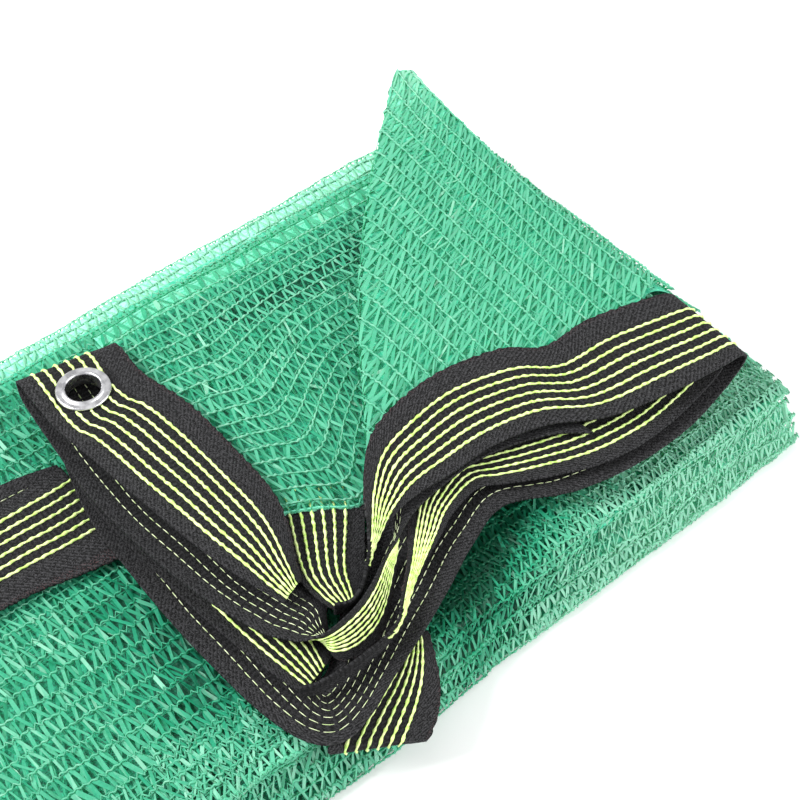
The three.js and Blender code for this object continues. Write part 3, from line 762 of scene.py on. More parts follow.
# A flat yarn between every two wales. It zigzags from chain to chain, one crossing to a stitch: a
# three-sided tube, narrow at each catch and wide half way, tilted by chance about its own path.
# A ring just before the next catch ends every crossing.
def flatYarns(cloth, knit, wale, a, b, high, made, seed, dice):
    mids, hold, thickness = knit["mids"], knit["hold"], flatForm["thickness"]
    lines, count = len(b) - 1, b.shape[1]
    size = (lines, count)
    offbeat = dice.integers(0, 2, (lines, 1))
    even = (np.arange(count)[None, :] + offbeat) % 2 == 0
    nodeA = np.where(even, a[:-1], a[1:]) + dice.normal(0, flatForm["caughtAt"], size)
    nodeB = np.where(even, b[:-1] - flatForm["overlap"], b[1:] + flatForm["overlap"])
    nodeHigh = np.where(even, high[:-1], high[1:]) - flatForm["below"]
    share = np.array([0.0, 0.5]) if mids == 1 else np.append(0.0, np.linspace(*flatForm["mids"], mids))
    runA = np.diff(nodeA, axis=1, append=nodeA[:, -1:] + knit["stitch"]) - 2 * hold
    runB = np.diff(nodeB, axis=1, append=nodeB[:, -1:] + knit["gap"])
    runHigh = np.diff(nodeHigh, axis=1, append=nodeHigh[:, -1:])
    wide = knit["flat"] * dice.uniform(*flatForm["widths"], size) / 2
    waves = ripple(a[1:], wale[1:] * 500.0, flatForm["widthWave"], seed + 9)
    wide = wide * (1 + flatForm["waleWidths"] * dice.uniform(-1, 1, (lines, 1)) + waves)
    middle = np.where(share > 0, 1.0, 0.0)
    tilt = dice.normal(0, flatForm["tilt"], (*size, 1))
    tilt = (tilt + dice.normal(0, flatForm["twist"], (*size, mids + 1))) * middle
    slope = (runA / np.hypot(runA, runB) * np.sign(-runB))[..., None] * middle
    width = wide[..., None] * (1 - flatForm["caught"] * (1 - middle))
    bend = dice.normal(0, flatForm["bend"], (*size, 1)) * middle
    lift = dice.normal(*flatForm["lift"], (*size, 1)) * middle

    # the rings of each crossing, then the one that ends it, in one row for each line
    def withEnd(grid, end):
        return np.concatenate([grid, end[..., None]], axis=-1).reshape(lines, -1)

    still = np.zeros(size)
    facing = cloth.side * np.where(runB > 0, -1.0, 1.0)
    sideways = width * np.cos(tilt) * facing[..., None]
    pathA = withEnd(nodeA[..., None] + hold + runA[..., None] * share + bend, nodeA + runA + hold)
    pathB = withEnd(nodeB[..., None] + runB[..., None] * share, nodeB + runB)
    pathHigh = withEnd(nodeHigh[..., None] + runHigh[..., None] * share + lift, nodeHigh + runHigh)
    wideA = withEnd(sideways * np.sqrt(1 - slope**2), wide * flatForm["caught"] * facing)
    wideB = withEnd(sideways * slope, still)
    wideHigh = withEnd(width * np.sin(tilt) * facing[..., None], still)
    corner = np.array([1.0, -1.0, 0.0])
    crown = np.array([0.0, 0.0, -thickness])
    points = tubesOn(
        cloth, pathA, pathB, pathHigh,
        wideA[..., None] * corner, wideB[..., None] * corner, wideHigh[..., None] * corner + crown,
    )
    pair = made[:-1] & made[1:]
    whole = np.zeros(size, bool)
    whole[:, :-1] = pair[:, :-1] & pair[:, 1:]
    ringCount = mids + 2
    crossing = np.arange(count * ringCount) % ringCount < ringCount - 1
    quads, caps = tubes(points, (np.repeat(whole, ringCount, axis=1) & crossing)[:, :-1])
    tone = knit["tone"] + knit["spread"] * dice.beta(2.2, 2.0, size)
    # A few flats get the pale tone of a painted glint, as if they caught the light.
    tone = np.where(dice.uniform(0, 1, size) < knit["glint"], flatForm["glint"], tone)
    return points.reshape(-1, 3), quads, caps, np.repeat(tone.ravel(), ringCount * 3)


# Parts made into one: all their points, their faces counted on from the points before them, and
# their tones.
def joined(parts):
    points, quads, caps, tones = zip(*parts)
    starts = np.cumsum([0] + [len(part) for part in points])
    quads = [faces + start for faces, start in zip(quads, starts)]
    caps = [faces + start for faces, start in zip(caps, starts)]
    return np.concatenate(points), [*quads, *caps], np.concatenate(tones)


# Knitted yarns on a cloth as one piece. keep(a, b) says where to knit, paintedLight(points) adds painted
# light and shade to the tone, and sink lowers the yarns towards the cloth.
def addYarns(name, cloth, style, acrossSpan, alongSpan, keep, seed, paintedLight=None, sink=0.0):
    knit = knits[style]
    dice = np.random.default_rng(seed)
    wale, *stitches = stitchPlaces(knit, acrossSpan, alongSpan, keep, seed, sink, dice)
    chains = chainYarns(cloth, knit, *stitches, dice)
    flats = flatYarns(cloth, knit, wale, *stitches, seed, dice)
    points, faces, tones = joined([chains, flats])
    if paintedLight is not None:
        tones = tones + paintedLight(points)
    smooth = (True, False, False, False)  # only the chains' walls
    piece = addPiece(name, points, faces, yarnGreen, smooth, marks={"tone": tones})
    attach(piece, "root")
    return piece


lower, lowerOwner = lowerCloth()
upper, upperOwner = upperCloth()
pocket = PocketCloth()
near = nearCloth()


# Flat measure b where a layer's column run starts and ends.
def layerSpan(cloth, owners, k):
    found = cloth.across[owners == k]
    return found[0], found[-1]


# What the upper layers and the tape stack hide of the bundle's top.
hiddenTop = [  # x from and to, y from and to
    (34, 178, -4, 60),
    (-9, 7, -72, 55),
]
hiddenAbove = 20


# Knit the lower layers but for the hidden places of the top.
def topKeep(a, b):
    x, y, z = np.moveaxis(lower.at(a, b), -1, 0)
    hidden = [(x > left) & (x < right) & (y > front) & (y < back) for left, right, front, back in hiddenTop]
    return ~((z > hiddenAbove) & np.any(hidden, axis=0))


# Only the folds: the part of every layer from first up that lies within reach of either end, or
# with nearToo off of its far end alone. Each part runs on a little round its fold.
def foldKeep(owners, cloth, reach, first=0, nearToo=True):
    past = 8

    def keep(a, b):
        kept = np.zeros(a.shape, bool)
        for k in range(first, int(owners.max()) + 1):
            start, end = layerSpan(cloth, owners, k)
            if nearToo or k % 2 == 0:
                kept |= (b > start - past) & (b < start + reach)
            if nearToo or k % 2 == 1:
                kept |= (b > end - reach) & (b < end + past)
        return kept
    return keep


# Knit the upper layers up to a margin beyond the line that the pocket is folded over at.
def upperKeep(a, b):
    fold = upperBundle["pocketFold"]
    beyond = upper.at(a, b)[..., :2] - np.array(fold["from"])
    return (beyond * np.array(fold["away"])).sum(axis=-1) < fold["margin"]


# The near face is knitted all over.
def nearKeep(a, b):
    return np.ones(a.shape, bool)


# Spots of painted shadow beside the tape stack, where it shades the net.
paintedShadowSpots = [  # x, y, radius, how deep the painted shadow is
    (50, -86, 18, 1.15),
    (68, -77, 17, 1.15),
    (90, -74, 15, 0.75),
    (-30, -20, 14, 0.34),
    (-31, -43, 15, 0.38),
    (-32, -68, 15, 0.38),
]


# Painted light and shade by place: paler along the far folds and the near right ones, where light shines
# through the few layers that lie one on another, and towards the right end; painted shade over the left, up
# to the tape stack, and a deeper bell-shaped spot of painted shadow at each place beside the tape.
def paintedLightAt(points):
    x, y, z = np.moveaxis(points, -1, 0)
    tone = 0.42 * growth(y, 82, 16) + 0.38 * growth(-y, 96, 8) * (x > 50)
    tone = tone - 0.10 * growth(x, -110, 60) * (x < 10) + 0.45 * growth(x, 105, 40) * (y < 25)
    for spotX, spotY, radius, deeper in paintedShadowSpots:
        tone = tone - deeper * np.exp(-((x - spotX) ** 2 + (y - spotY) ** 2) / radius**2) * (z < 30)
    return tone


# Painted shade on the upper layers: deeper in a narrow bell-shaped band along the crease that runs into the
# pocket's fold, growing from its start and fading at its end.
def creaseShadeAt(points):
    (fromX, fromY), (toX, toY) = upperBundle["crease"]
    run = math.hypot(toX - fromX, toY - fromY)
    x, y = points[..., 0] - fromX, points[..., 1] - fromY
    along = (x * (toX - fromX) + y * (toY - fromY)) / run
    aside = (x * (toY - fromY) - y * (toX - fromX)) / run + 1.6 * np.sin(along / 9)
    fade = growth(along, 0, 25) * (1 - growth(along, run, 8))
    return -0.9 * np.exp(-(aside / 3.4) ** 2) * fade


# Painted light on the pocket: paler towards its tip, where it stands alone and light shines through it.
def tipLightAt(points):
    return 0.45 * growth(points[..., 1], 55, 60) ** 2


# Every knitted piece: the cloth it lies on, its knit, the span across and along, where it is made, its seed
# and its painted light and shade. A second ply lies sunk under the first where the net is dense.
def knitNet():
    whole, stack, nearRight = (-205, 205), (17.5, 188), (-60, 205)
    lap, rulings = (-60, 175), (0, 240)
    lowerTop = layerSpan(lower, lowerOwner, lowerTopLayer)
    upperTop = layerSpan(upper, upperOwner, upperTopLayer)
    nearSpan = (near.across[0], near.across[-1])
    farFolds = foldKeep(lowerOwner, lower, 10, nearToo=False)
    upperFolds = foldKeep(upperOwner, upper, 40, first=1)
    topSpan, hemmed = (lowerTop[0] + 3, lowerTop[1]), (upperTop[0] - 9, upper.across[-1] - 2)
    return [
        addYarns("netTop", lower, "bundle", topSpan, whole, topKeep, 3, paintedLightAt),
        addYarns("netSecond", lower, "plain", lowerTop, whole, topKeep, 4, paintedLightAt, sink=0.8),
        addYarns("netFolds", lower, "fold", (0, lowerTop[0]), whole, farFolds, 6, paintedLightAt, sink=-0.5),
        addYarns("netSide", near, "side", nearSpan, nearRight, nearKeep, 14, paintedLightAt),
        addYarns("netSideSecond", near, "fold", nearSpan, whole, nearKeep, 15, paintedLightAt, sink=0.8),
        addYarns("netUpper", upper, "upper", hemmed, stack, upperKeep, 7),
        addYarns("netUpperSecond", upper, "plain", upperTop, stack, upperKeep, 12, creaseShadeAt, sink=0.8),
        addYarns("netUpperFolds", upper, "plain", (0, upperTop[0] - 4), stack, upperFolds, 9),
        addYarns("netPocket", pocket, "pocket", lap, rulings, pocket.holds, 8, tipLightAt),
        addYarns("netPocketSecond", pocket, "under", lap, rulings, pocket.holds, 20, tipLightAt, sink=0.55),
    ]


backingLook = {
    "sunk": (2.2, 1.1),  # how far below the yarns it lies, under the top layer and elsewhere
    "lowest": 0.3,
    "shade": (-86, 0.6),  # painted shade: it is deeper by so much nearer than this y
    "pocketSunk": (1.8, 0.5),  # at the mouth and at the tip
    "pocketTone": 0.06,
}


# The cloth behind the yarns, for one folded stack: pulled in from the folds and lowered a little. It is
# closed near the folds and under the top layer, and a drawn pattern elsewhere. Its tone carries painted
# shade, deeper under the top layer and on the near side, with the painted light and shade by place and
# along the crease.
def backing(cloth, owners, bundle):
    look = bundle["backing"]
    flat = np.stack(np.meshgrid(cloth.along, cloth.across, indexing="ij"), axis=-1)
    onTop = owners == len(bundle["layers"]) - 1
    points = cloth.points.copy()
    middle = points[..., 1].mean()
    points[..., 1] = middle + (points[..., 1] - middle) * look["inset"]
    sunk = np.where(onTop, *backingLook["sunk"])
    points[..., 2] = np.maximum(points[..., 2] - sunk, backingLook["lowest"])
    nearFold = foldKeep(owners, cloth, look["reach"])(flat[..., 0], flat[..., 1])
    cover = np.where(onTop | nearFold, 2.0, 1.0)
    shadeFrom, deeper = backingLook["shade"]
    # painted shade: deeper under the top layer and on the near side
    tone = np.where(onTop, *look["tones"]) + paintedLightAt(points) - deeper * (points[..., 1] < shadeFrom)
    if "crease" in bundle:
        tone = tone + creaseShadeAt(points)
    return points, flat, cover, tone


# The same for the pocket: its own cloth moved inwards, and closed all over, with painted light towards its
# tip.
def pocketBacking():
    scale = np.linspace(1, pocket.tip, len(pocket.along))[:, None]
    reach = scale * pocket.lengths[None, :]
    turn = pocket.angles[None, :]
    flat = np.stack([reach * np.cos(turn), reach * np.sin(turn)], axis=-1)
    inward = np.linspace(*backingLook["pocketSunk"], len(pocket.along))[:, None, None]
    points = pocket.points - pocket.normals * inward
    return points, flat, np.full(reach.shape, 2.0), backingLook["pocketTone"] + tipLightAt(points)


# The cloth itself: every layer of the bundle and the pocket in one mesh, with the flat measures
# as its UV map. Its flat length is the section's length over all the folds, of which the upper
# layers and the pocket have only their share of the bundle's length.
def netCloth(yarns):
    parts = [
        pocketBacking(),
        backing(lower, lowerOwner, lowerBundle),
        backing(upper, upperOwner, upperBundle),
    ]
    faces, start = [], 0
    for points, *_ in parts:
        index = np.arange(points[..., 0].size).reshape(points.shape[:2]) + start
        quads = np.stack([index[:-1, :-1], index[:-1, 1:], index[1:, 1:], index[1:, :-1]], axis=-1)
        faces.append(quads.reshape(-1, 4))
        start += index.size
    points, flats, cover, tone = zip(*parts)
    points = np.concatenate([grid.reshape(-1, 3) for grid in points])
    flats = np.concatenate([grid.reshape(-1, 2) for grid in flats])
    cover, tone = (np.concatenate([grid.ravel() for grid in grids]) for grids in (cover, tone))
    piece = addPiece("netCloth", points, faces, greenKnit, uv=flats, marks={"cover": cover, "tone": tone})
    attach(piece, "root")
    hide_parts("net")
    return piece


netCloth(knitNet())
print("net knitted")

# Woven tape, one row for each cross-section: outer edge, net-side edge, lift of the middle, and
# the width that the section stands for, less than the whole where the rest is hidden. A row that
# leaves out the last ones is flat and whole.
tapes = {
    "tapeEyelet": {"node": "tape_eyelet", "front": 1, "kink": (33, 1.6), "rows": [
        (-19, 72.6, 40.4, 17, 66.4, 40.0),
        (-19.4, 70.6, 42.8, 17.5, 64.4, 42.8),
        (-19.5, 66, 43.8, 17.8, 60, 43.8),
        (-19.8, 56, 43.8, 17.3, 53, 43.8),
        (-19.8, 42, 43.8, 17.5, 44, 43.8),
        (-17, 22, 43.6, 22, 24, 43.4, 0.3),
        (-14, -2, 43.8, 23, -2, 43.2, 0.9),
        (-10.5, -26, 43.6, 22.5, -24, 42.8, 1.4),
        (-7, -42, 43.0, 18.8, -38, 42.0, 2.2),
        (-3.2, -54, 41.6, 13, -50, 41.4, 2.0),
        (0.5, -61, 39.4, 9.5, -57.5, 39.4, 1.0),
    ]},
    "tapeSecond": {"node": "tape_second", "front": -1, "rows": [
        (-19, 72.6, 40.6, 17, 66.4, 40.2),
        (-19.6, 71, 38.4, 16, 65, 37.0, -0.2),
        (-20.8, 65, 37.6, 15, 59.5, 35.8, -0.5),
        (-22.6, 46, 37.4, 14, 46, 35.4, -0.6),
        (-24.5, 20, 37.4, 13, 20, 35.4, -0.6),
        (-23.5, -4, 37.2, 13, -4, 35.4, -0.6),
        (-20.5, -28, 37.2, 14, -28, 35.2, -0.6),
        (-16.5, -47, 37.4, 12, -45, 34.2, -0.3),
        (-11.5, -64, 38.2, 13, -56, 33.8),
        (-7, -72, 39.2, 14, -64, 33.6),
        (-3, -76.5, 40.3, 9, -71.5, 33.4),
        (4, -78.8, 41.0, 3, -83, 33.0),
        (12, -78, 41.0, 8, -88, 32.8),
        (20, -76, 41.0, 18, -87, 32.8),
        (28, -72.5, 41.0, 26, -82, 33.6),
        (36, -68, 41.0, 37, -72, 36.4),
        (45, -64.4, 41.0, 46.5, -60.5, 39.9, 0, 20),
        (54, -60.4, 41.0, 55, -50, 40.4, 0, 11),
        (66, -58, 41.0, 66, -42, 40.8, 0, 16),
        (84, -57, 41.2, 84, -34, 41.2, 0, 23),
        (100, -60, 41.2, 100, -31, 41.2, 0, 29),
        (114, -65.5, 41.2, 112, -33, 41.2, 0, 33),
        (124, -73, 41.0, 119, -36, 41.0, 0, 38),
    ]},
    "tapeThird": {"node": "tape_third", "front": 1, "rows": [
        (-16.5, 57, 31.2, 11, 59, 30.8),
        (-20.5, 40, 31.2, 11, 42, 30.8),
        (-24, 18, 31.2, 11, 18, 30.8),
        (-23.5, -5, 31.1, 11, -5, 30.8),
        (-21.5, -35, 31.6, 11, -35, 31.2),
        (-18.2, -60, 31.4, 9.5, -58, 30.8),
        (-14.8, -77, 31.0, 7, -72, 30.6),
        (-12, -87.4, 31.0, 3, -82, 30.4),
    ]},
    "tapeThirdRight": {"node": "tape_third", "front": 1, "rows": [
        (-13, -86.4, 31.0, -13.5, -87, 36.6, 0, 6),
        (-8.8, -89.2, 30.7, -9, -89.6, 37.6, 0, 6),
        (0.2, -90.6, 30.7, 0, -91, 38.0, 0, 6),
        (10.4, -90.4, 30.7, 10, -91, 38.0, 0, 6),
        (19.8, -89.4, 31.0, 19, -90.2, 38.2, 0, 8),
        (28.6, -85.6, 32.4, 26.5, -87.4, 38.4, 0, 24),
        (38, -80, 35.4, 33, -80.5, 38.4),
        (47.5, -75.4, 36.4, 41, -73, 38.2),
        (57.5, -70.8, 37.0, 50, -62.5, 37.8),
        (66.5, -66.5, 37.2, 63, -50, 38.0),
        (79.5, -64, 37.4, 80, -42, 38.0),
        (88.5, -68.6, 37.2, 91, -44, 38.0),
        (101, -75, 37.0, 104, -46, 38.0),
        (118, -82, 37.0, 120, -49, 38.0),
        (136, -85, 37.0, 137, -51, 38.0),
        (155, -84.4, 37.6, 155, -51, 38.4),
        (172, -82, 39.0, 172, -51, 39.4),
        (181, -80, 40.2, 181, -51, 40.4),
    ]},
    "tapePocket": {"node": "tape_pocket", "front": -1, "rows": [
        (-16, 58, 29.4, 10, 61, 28.2),
        (-22.5, 36, 29.6, 10, 40, 28.2),
        (-27.4, 14, 29.6, 10, 16, 28.2),
        (-28.6, -5, 29.6, 10, -5, 28.2),
        (-28.8, -35, 28.6, 10, -35, 28.0),
        (-27.4, -62, 28.0, 9, -60, 27.8),
        (-25, -84, 28.0, 5, -76, 27.6),
        (-20, -100, 28.2, -1, -82, 27.6),
        (-11.5, -106.8, 28.6, -4, -84.5, 27.6, -0.6),
        (0.5, -105.2, 29.0, -1, -84, 27.6),
        (14.5, -99.4, 29.6, 7, -78, 27.6),
        (34, -92, 30.4, 24, -62, 27.8),
        (50, -85, 31.4, 42, -50, 28.4),
        (66, -77.6, 32.4, 62, -42, 29.4),
        (84, -72.8, 33.2, 84, -37, 30.8),
        (106, -83, 33.0, 106, -44, 31.8),
        (130, -88, 33.0, 130, -48, 32.6),
        (156, -88.4, 33.6, 156, -48, 33.4),
        (177, -85, 35.2, 177, -46, 35.0),
        (186.4, -83, 37.2, 186.4, -46, 37.2),
        (190.4, -82.4, 41.0, 190.4, -46, 41.4),
        (187.4, -82.2, 44.6, 187.4, -45, 45.8),
        (178, -82, 45.4, 178, -42.6, 47.2),
        (156, -79.2, 45.4, 154, -37, 47.6, 0.2),
        (131, -73, 44.8, 134, -36.4, 47.0, -0.6),
        (112, -62.6, 44.8, 120, -27.6, 47.6, 0.4),
        (92, -57.6, 44.6, 95, -22.6, 47.9, 0.6),
        (73, -57.6, 44.4, 71, -25.6, 48.1, 0.6),
        (60, -57, 44.2, 57, -32.5, 48.4, 0.4),
        (50.5, -57.8, 43.6, 44.5, -46, 48.2),
        (42, -60, 42.4, 36, -59, 47.4, 0, 36),
        (36, -61.8, 38.6, 31.8, -65, 45.6, 0, 24),
        (31, -65.4, 35.2, 28.6, -67.6, 42.6, 0, 8),
        (27, -69, 34.2, 25.2, -70.6, 41.6, 0, 6),
        (22, -72, 34.0, 21, -73.4, 41.5, 0, 6),
        (16.5, -73, 34.0, 16.3, -74.4, 41.5, 0, 6),
        (12.4, -71, 34.0, 12, -72.4, 41.2, 0, 6),
    ]},
    "tapeTuck": {"node": "tape_pocket", "front": 1, "shift": -2.0, "rows": [
        (24, -20.5, 36.0, 50, -38, 36.0, 0, 34),
        (21, -28, 36.2, 45.5, -45, 36.2, 0, 34),
        (14.4, -43, 36.3, 36.5, -56.5, 36.3, 0, 36),
        (10.6, -54, 36.3, 30, -65, 36.3, 0, 38),
        (10.6, -64, 36.3, 27, -69, 36.3),
        (12.4, -71.8, 36.3, 23, -72.2, 36.3),
    ]},
    "tapeCorner": {"node": "tape_corner", "front": 1, "rows": [
        (26, -89, 26.6, 35, -91.5, 26.6),
        (18, -93, 26.4, 31.5, -99, 25.6),
        (6, -96.5, 26.2, 27.5, -106.5, 21.0, 0.6),
        (-6, -99.5, 25.9, 21.5, -113, 17.6, 0.9),
        (-15.5, -104, 24.4, 14, -117.6, 16.6, 0.6),
        (-15.5, -104.6, 22.2, 13, -116.4, 14.8),
    ]},
    "tapeSide": {"node": "tape_side", "front": 1, "rows": [
        (-23, 40, 27.6, -23, -6, 27.4, 0, 44),
        (-40, 39, 27.6, -40, -3, 27.4, 0, 42),
        (-60, 39.5, 27.6, -60, 1, 27.4),
        (-100, 42, 27.5, -100, 3.5, 27.5),
        (-150, 43, 27.5, -150, 4, 27.5),
        (-188, 42, 27.5, -188, 3, 27.5),
        (-191.4, 43, 26.6, -191.4, 4, 26.6),
        (-188, 45, 25.95, -188, 8, 25.95, 0, 38),
        (-120, 47, 25.95, -120, 10, 25.95, 0, 38),
        (-60, 48, 25.95, -60, 12, 25.95, 0, 38),
        (-40, 47, 25.95, -40, 12, 25.95, 0, 38),
        (-23, 43, 25.95, -23, 10, 25.95, 0, 36),
    ]},
}

tapeLook = {
    "width": 40,  # of the whole tape
    "thickness": 0.95,
    "steps": (1.6, 13),  # between sections, and columns across
    "fineSteps": (1.2, 27),  # the same for the tape with the eyelet
    "margins": (0.012, 0.04),  # share of the width from the edge to the next columns
    "ragged": (3.1, 0.35),  # length and height of the waves in its net-side edge
    "pucker": (6, 0.13),  # and over all of it
    "stitchRows": (6.8, 11.2, 15.6, 20.0, 24.4, 28.8),
    "stitchLength": 3.4,
    "stitched": (0.02, 0.965),  # no stitch lies nearer to an edge
    "leastSqueeze": 0.35,  # threads on a pleated stretch are drawn no thinner than for this
    "drift": (14, 0.5),  # waves of the stitches along their row
    "wander": (26, 0.26),  # and across it
    "sagEnd": 5,  # stretch in which a sagging row comes back up
    "dark": rgb(0.0020, 0.0021, 0.0024),
    "light": rgb(0.052, 0.052, 0.055),
    "fluff": rgb(0.120, 0.030, 0.030),
    "limeThread": (rgb(0.48, 0.76, 0.14), rgb(0.84, 0.96, 0.44)),
    "paleThread": (rgb(0.50, 0.66, 0.28), rgb(0.88, 0.96, 0.64)),
}


# Woven twill: coarse slanted ribs broken by noise, from the tape's own flat measures. It is darker with
# cross ribs where the stitching pulls it down, partly the pressed weave and partly painted shade in that
# hollow, greyer along both bare margins, and has a little rust-coloured fluff at the net-side edge.
def tapeMaterial():
    finish = Finish("blackTwill")
    uv, along, across = finish.flat()
    grain = finish.noise(uv, 0.8, 3.0)
    speck = finish.noise(uv, 1.9, 2.0)
    wander = (speck - 0.5) * 2.2
    rib = abs((along * 0.55 + across * 0.60 + wander).part() * 2 - 1)
    cross = abs((along * 0.55 + wander * 0.6).part() * 2 - 1)
    stitched = across.ease(5.0, 7.5) * (across * -1).ease(-31.5, -28.5)
    weave = rib + stitched * (cross - rib) * 0.7
    height = weave * 0.34 + grain * 0.9 + speck * 1.3
    # Darker between the stitch rows: the pressed weave and painted shade in the hollow there.
    light = height.ease(1.02, 1.62) * (1.0 - stitched * 0.45)
    woven = finish.mixColour(light, tapeLook["dark"], tapeLook["light"])
    fluff = across.ease(37.6, 39.4) * speck.ease(0.56, 0.66)
    return finish.output(finish.surface({
        "Base Color": finish.mixColour(fluff * 0.5, woven, tapeLook["fluff"]),
        "Roughness": 0.85,
        "Specular IOR Level": 0.22,
        "Normal": finish.bump(height, 0.9, 0.0006),
    }))


# Spun thread between two colours, by each stitch's tone and a fine noise.
def threadMaterial(name):
    finish = Finish(name)
    cloudy = finish.noise(finish.place(), 1500.0)
    shade = (finish.mark("tone") * 0.6 + cloudy * 0.6).ease(0.25, 0.85)
    return finish.output(finish.surface({
        "Base Color": finish.mixColour(shade, *tapeLook[name]),
        "Roughness": 0.62,
        "Normal": finish.bump(cloudy, 0.5, 0.0002),
    }))


blackTwill = tapeMaterial()
limeThread = threadMaterial("limeThread")
paleThread = threadMaterial("paleThread")


# A tape's table with every column: rows that leave out their last ones are flat and whole.
def wholeRows(rows):
    level = (0, tapeLook["width"])
    return np.array([(*row, *level[len(row) - 6:]) for row in rows], float)


# Tape as a cloth: smooth curves through the table's rows, straight across but for a parabola
# that lifts the middle, and puckered by a ripple. along is the length of its centre line in mm,
# across the share of its section from the outer edge (0) to the net-side edge (1).
def tapeCloth(rows, seed, fine=False):
    rows = wholeRows(rows)
    step, columns = tapeLook["fineSteps" if fine else "steps"]
    middles = (rows[:, :3] + rows[:, 3:6]) / 2
    spans = np.linalg.norm(np.diff(middles, axis=0), axis=1)
    counts = np.maximum(2, np.ceil(spans / step).astype(int))
    places = np.concatenate([k + np.arange(n) / n for k, n in enumerate(counts)] + [[len(rows) - 1]])
    table = between(rows, places)
    edge, margin = tapeLook["margins"]
    u = np.concatenate([[0, edge, margin], np.linspace(0.1, 0.9, columns), [1 - margin, 1 - edge, 1]])
    outer, netSide = table[:, None, :3], table[:, None, 3:6]
    points = outer + (netSide - outer) * u[None, :, None]
    points[..., 2] += table[:, None, 6] * 4 * u * (1 - u)
    middle = points[:, len(u) // 2]
    along = runUp(np.linalg.norm(np.diff(middle, axis=0), axis=1))
    cloth = Cloth(points, along, u)
    cloth.wide = table[:, 7]
    pucker = ripple(along[:, None], u * 16, tapeLook["pucker"], seed)
    cloth.points = points + cloth.normals * pucker[..., None]
    cloth.span = np.linalg.norm(cloth.points[:, -1] - cloth.points[:, 0], axis=-1)
    return cloth


# A tape as a closed sheet with square woven edges, a little ragged on its net side. hole
# (x, y, rim, reach, cut) spreads the points within reach of the eyelet outwards to the rim, and
# leaves out the cells whose corners were within cut of its centre.
def addTape(name, node, cloth, hole=None):
    points = cloth.points.copy()
    cut = None
    if hole is not None:
        centre, (rim, reach, within) = np.array(hole[:2]), hole[2:]
        apart = points[..., :2] - centre
        radius = np.linalg.norm(apart, axis=-1)
        spread = np.where(radius < reach, rim + radius * (reach - rim) / reach, radius)
        points[..., :2] = centre + apart * (spread / np.maximum(radius, 1e-6))[..., None]
        corners = radius[:-1, :-1] + radius[1:, :-1] + radius[1:, 1:] + radius[:-1, 1:]
        cut = corners / 4 < within
    fray = ripple(cloth.along, 0, tapeLook["ragged"], 17)[:, None] * unit(points[:, -1] - points[:, 0])
    points[:, -1] += fray
    points[:, -2] += fray * 0.8
    sheet, quads = thickSheet(points, cloth.normals, tapeLook["thickness"], cut)
    across = cloth.across[None, :] * np.maximum(cloth.wide, 12)[:, None]
    flat = np.stack([cloth.along[:, None] + 0 * across, across], axis=-1).reshape(-1, 2)
    piece = addPiece(name, sheet, [quads], blackTwill, uv=np.concatenate([flat, flat]))
    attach(piece, "root")
    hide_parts(node)
    return piece


stitchForms = {  # rings in a stitch, sides, radius, and for a dash the share of it in each ring
    "chain": {"rings": 5, "sides": 4, "radius": 0.56, "swell": 0.24, "uneven": 0.10, "sway": 0.12},
    "dash": {"rings": 4, "sides": 3, "radius": 0.22, "humps": (0.2, 1.0, 1.0, 0.2)},
}


# Even growth from 0.55 at nothing to whole at 1.
def fuller(share):
    return 0.55 + 0.45 * share


# Stitching along a tape: rows of threads that drift with long ripples. Chain stitch is a thick
# thread that swells by a cosine and sways by a sine once for each stitch; on the back each stitch
# shows as a short thin dash. kink (place, depth) lets the rows sag evenly down to that place.
def stitchRings(cloth, side, kind, shift, seed, skip=None, kink=None):
    form = stitchForms[kind]
    dice = np.random.default_rng(seed)
    rowsAt = np.array(tapeLook["stitchRows"])[:, None] + shift
    pitch, per = tapeLook["stitchLength"], form["rings"]
    a = np.arange(int(cloth.along[-1] / pitch) * per + 1) / per * pitch
    a = a * (cloth.along[-1] / a[-1])
    beat = np.arange(len(a)) % per
    level = 0 * dice.uniform(0, 1, rowsAt.shape)  # a zero for each row
    line = a + level
    line = line + ripple(line, rowsAt * 9, tapeLook["drift"], seed)
    sway = ripple(line, rowsAt, tapeLook["wander"], seed + 5)
    surface = tapeLook["thickness"] / 2
    keep = np.ones((len(rowsAt), len(a) - 1), bool)
    if kink is not None:
        place, depth = kink
        sway = sway - depth * growth(line, 0, place) * (1 - growth(line, place, tapeLook["sagEnd"]))
    if kind == "chain":
        phase = beat / per
        radius = form["radius"] * (1.0 + form["swell"] * np.cos(math.tau * phase)) + level
        radius = radius * (1 + form["uneven"] * chance(dice, radius.shape, 1.5))
        sway = sway + form["sway"] * np.sin(math.tau * phase)
        height = surface + 0.26 + 0.08 * np.cos(math.tau * phase) + level
    else:
        hump = np.array(form["humps"])[beat]
        radius = form["radius"] * fuller(hump) + level
        height = surface + 0.14 * hump - 0.02 + level
        keep &= beat[:-1] < per - 1
    wide = np.interp(a, cloth.along, cloth.wide)
    span = np.interp(a, cloth.along, cloth.span)[None, :]
    u = (rowsAt + sway) / wide
    first, last = tapeLook["stitched"]
    shown = (u > first) & (u < last)
    if skip is not None:
        shown &= ~skip(cloth.at(line, u))
    keep &= shown[:, :-1] & shown[:, 1:]
    radius = radius * fuller(np.clip(span / wide, tapeLook["leastSqueeze"], 1))
    turn = np.arange(form["sides"]) / form["sides"] * math.tau + math.pi / 2
    rings = cloth.at(
        line[..., None] + 0 * turn,
        u[..., None] + radius[..., None] * np.cos(turn) / span[..., None],
        side * (height[..., None] + 0.8 * radius[..., None] * np.sin(turn)),
    )
    if side < 0:
        rings = rings[:, :, ::-1]
    tone = np.clip(0.5 + 0.25 * dice.normal(0, 1, line.shape), 0, 1)
    return rings.reshape(-1, 3), *tubes(rings, keep), np.repeat(tone.ravel(), form["sides"])


# The stitching of several tapes as one piece.
def addThread(name, material, parts):
    points, faces, tones = joined(parts)
    piece = addPiece(name, points, faces, material, marks={"tone": tones})
    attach(piece, "root")
    return piece


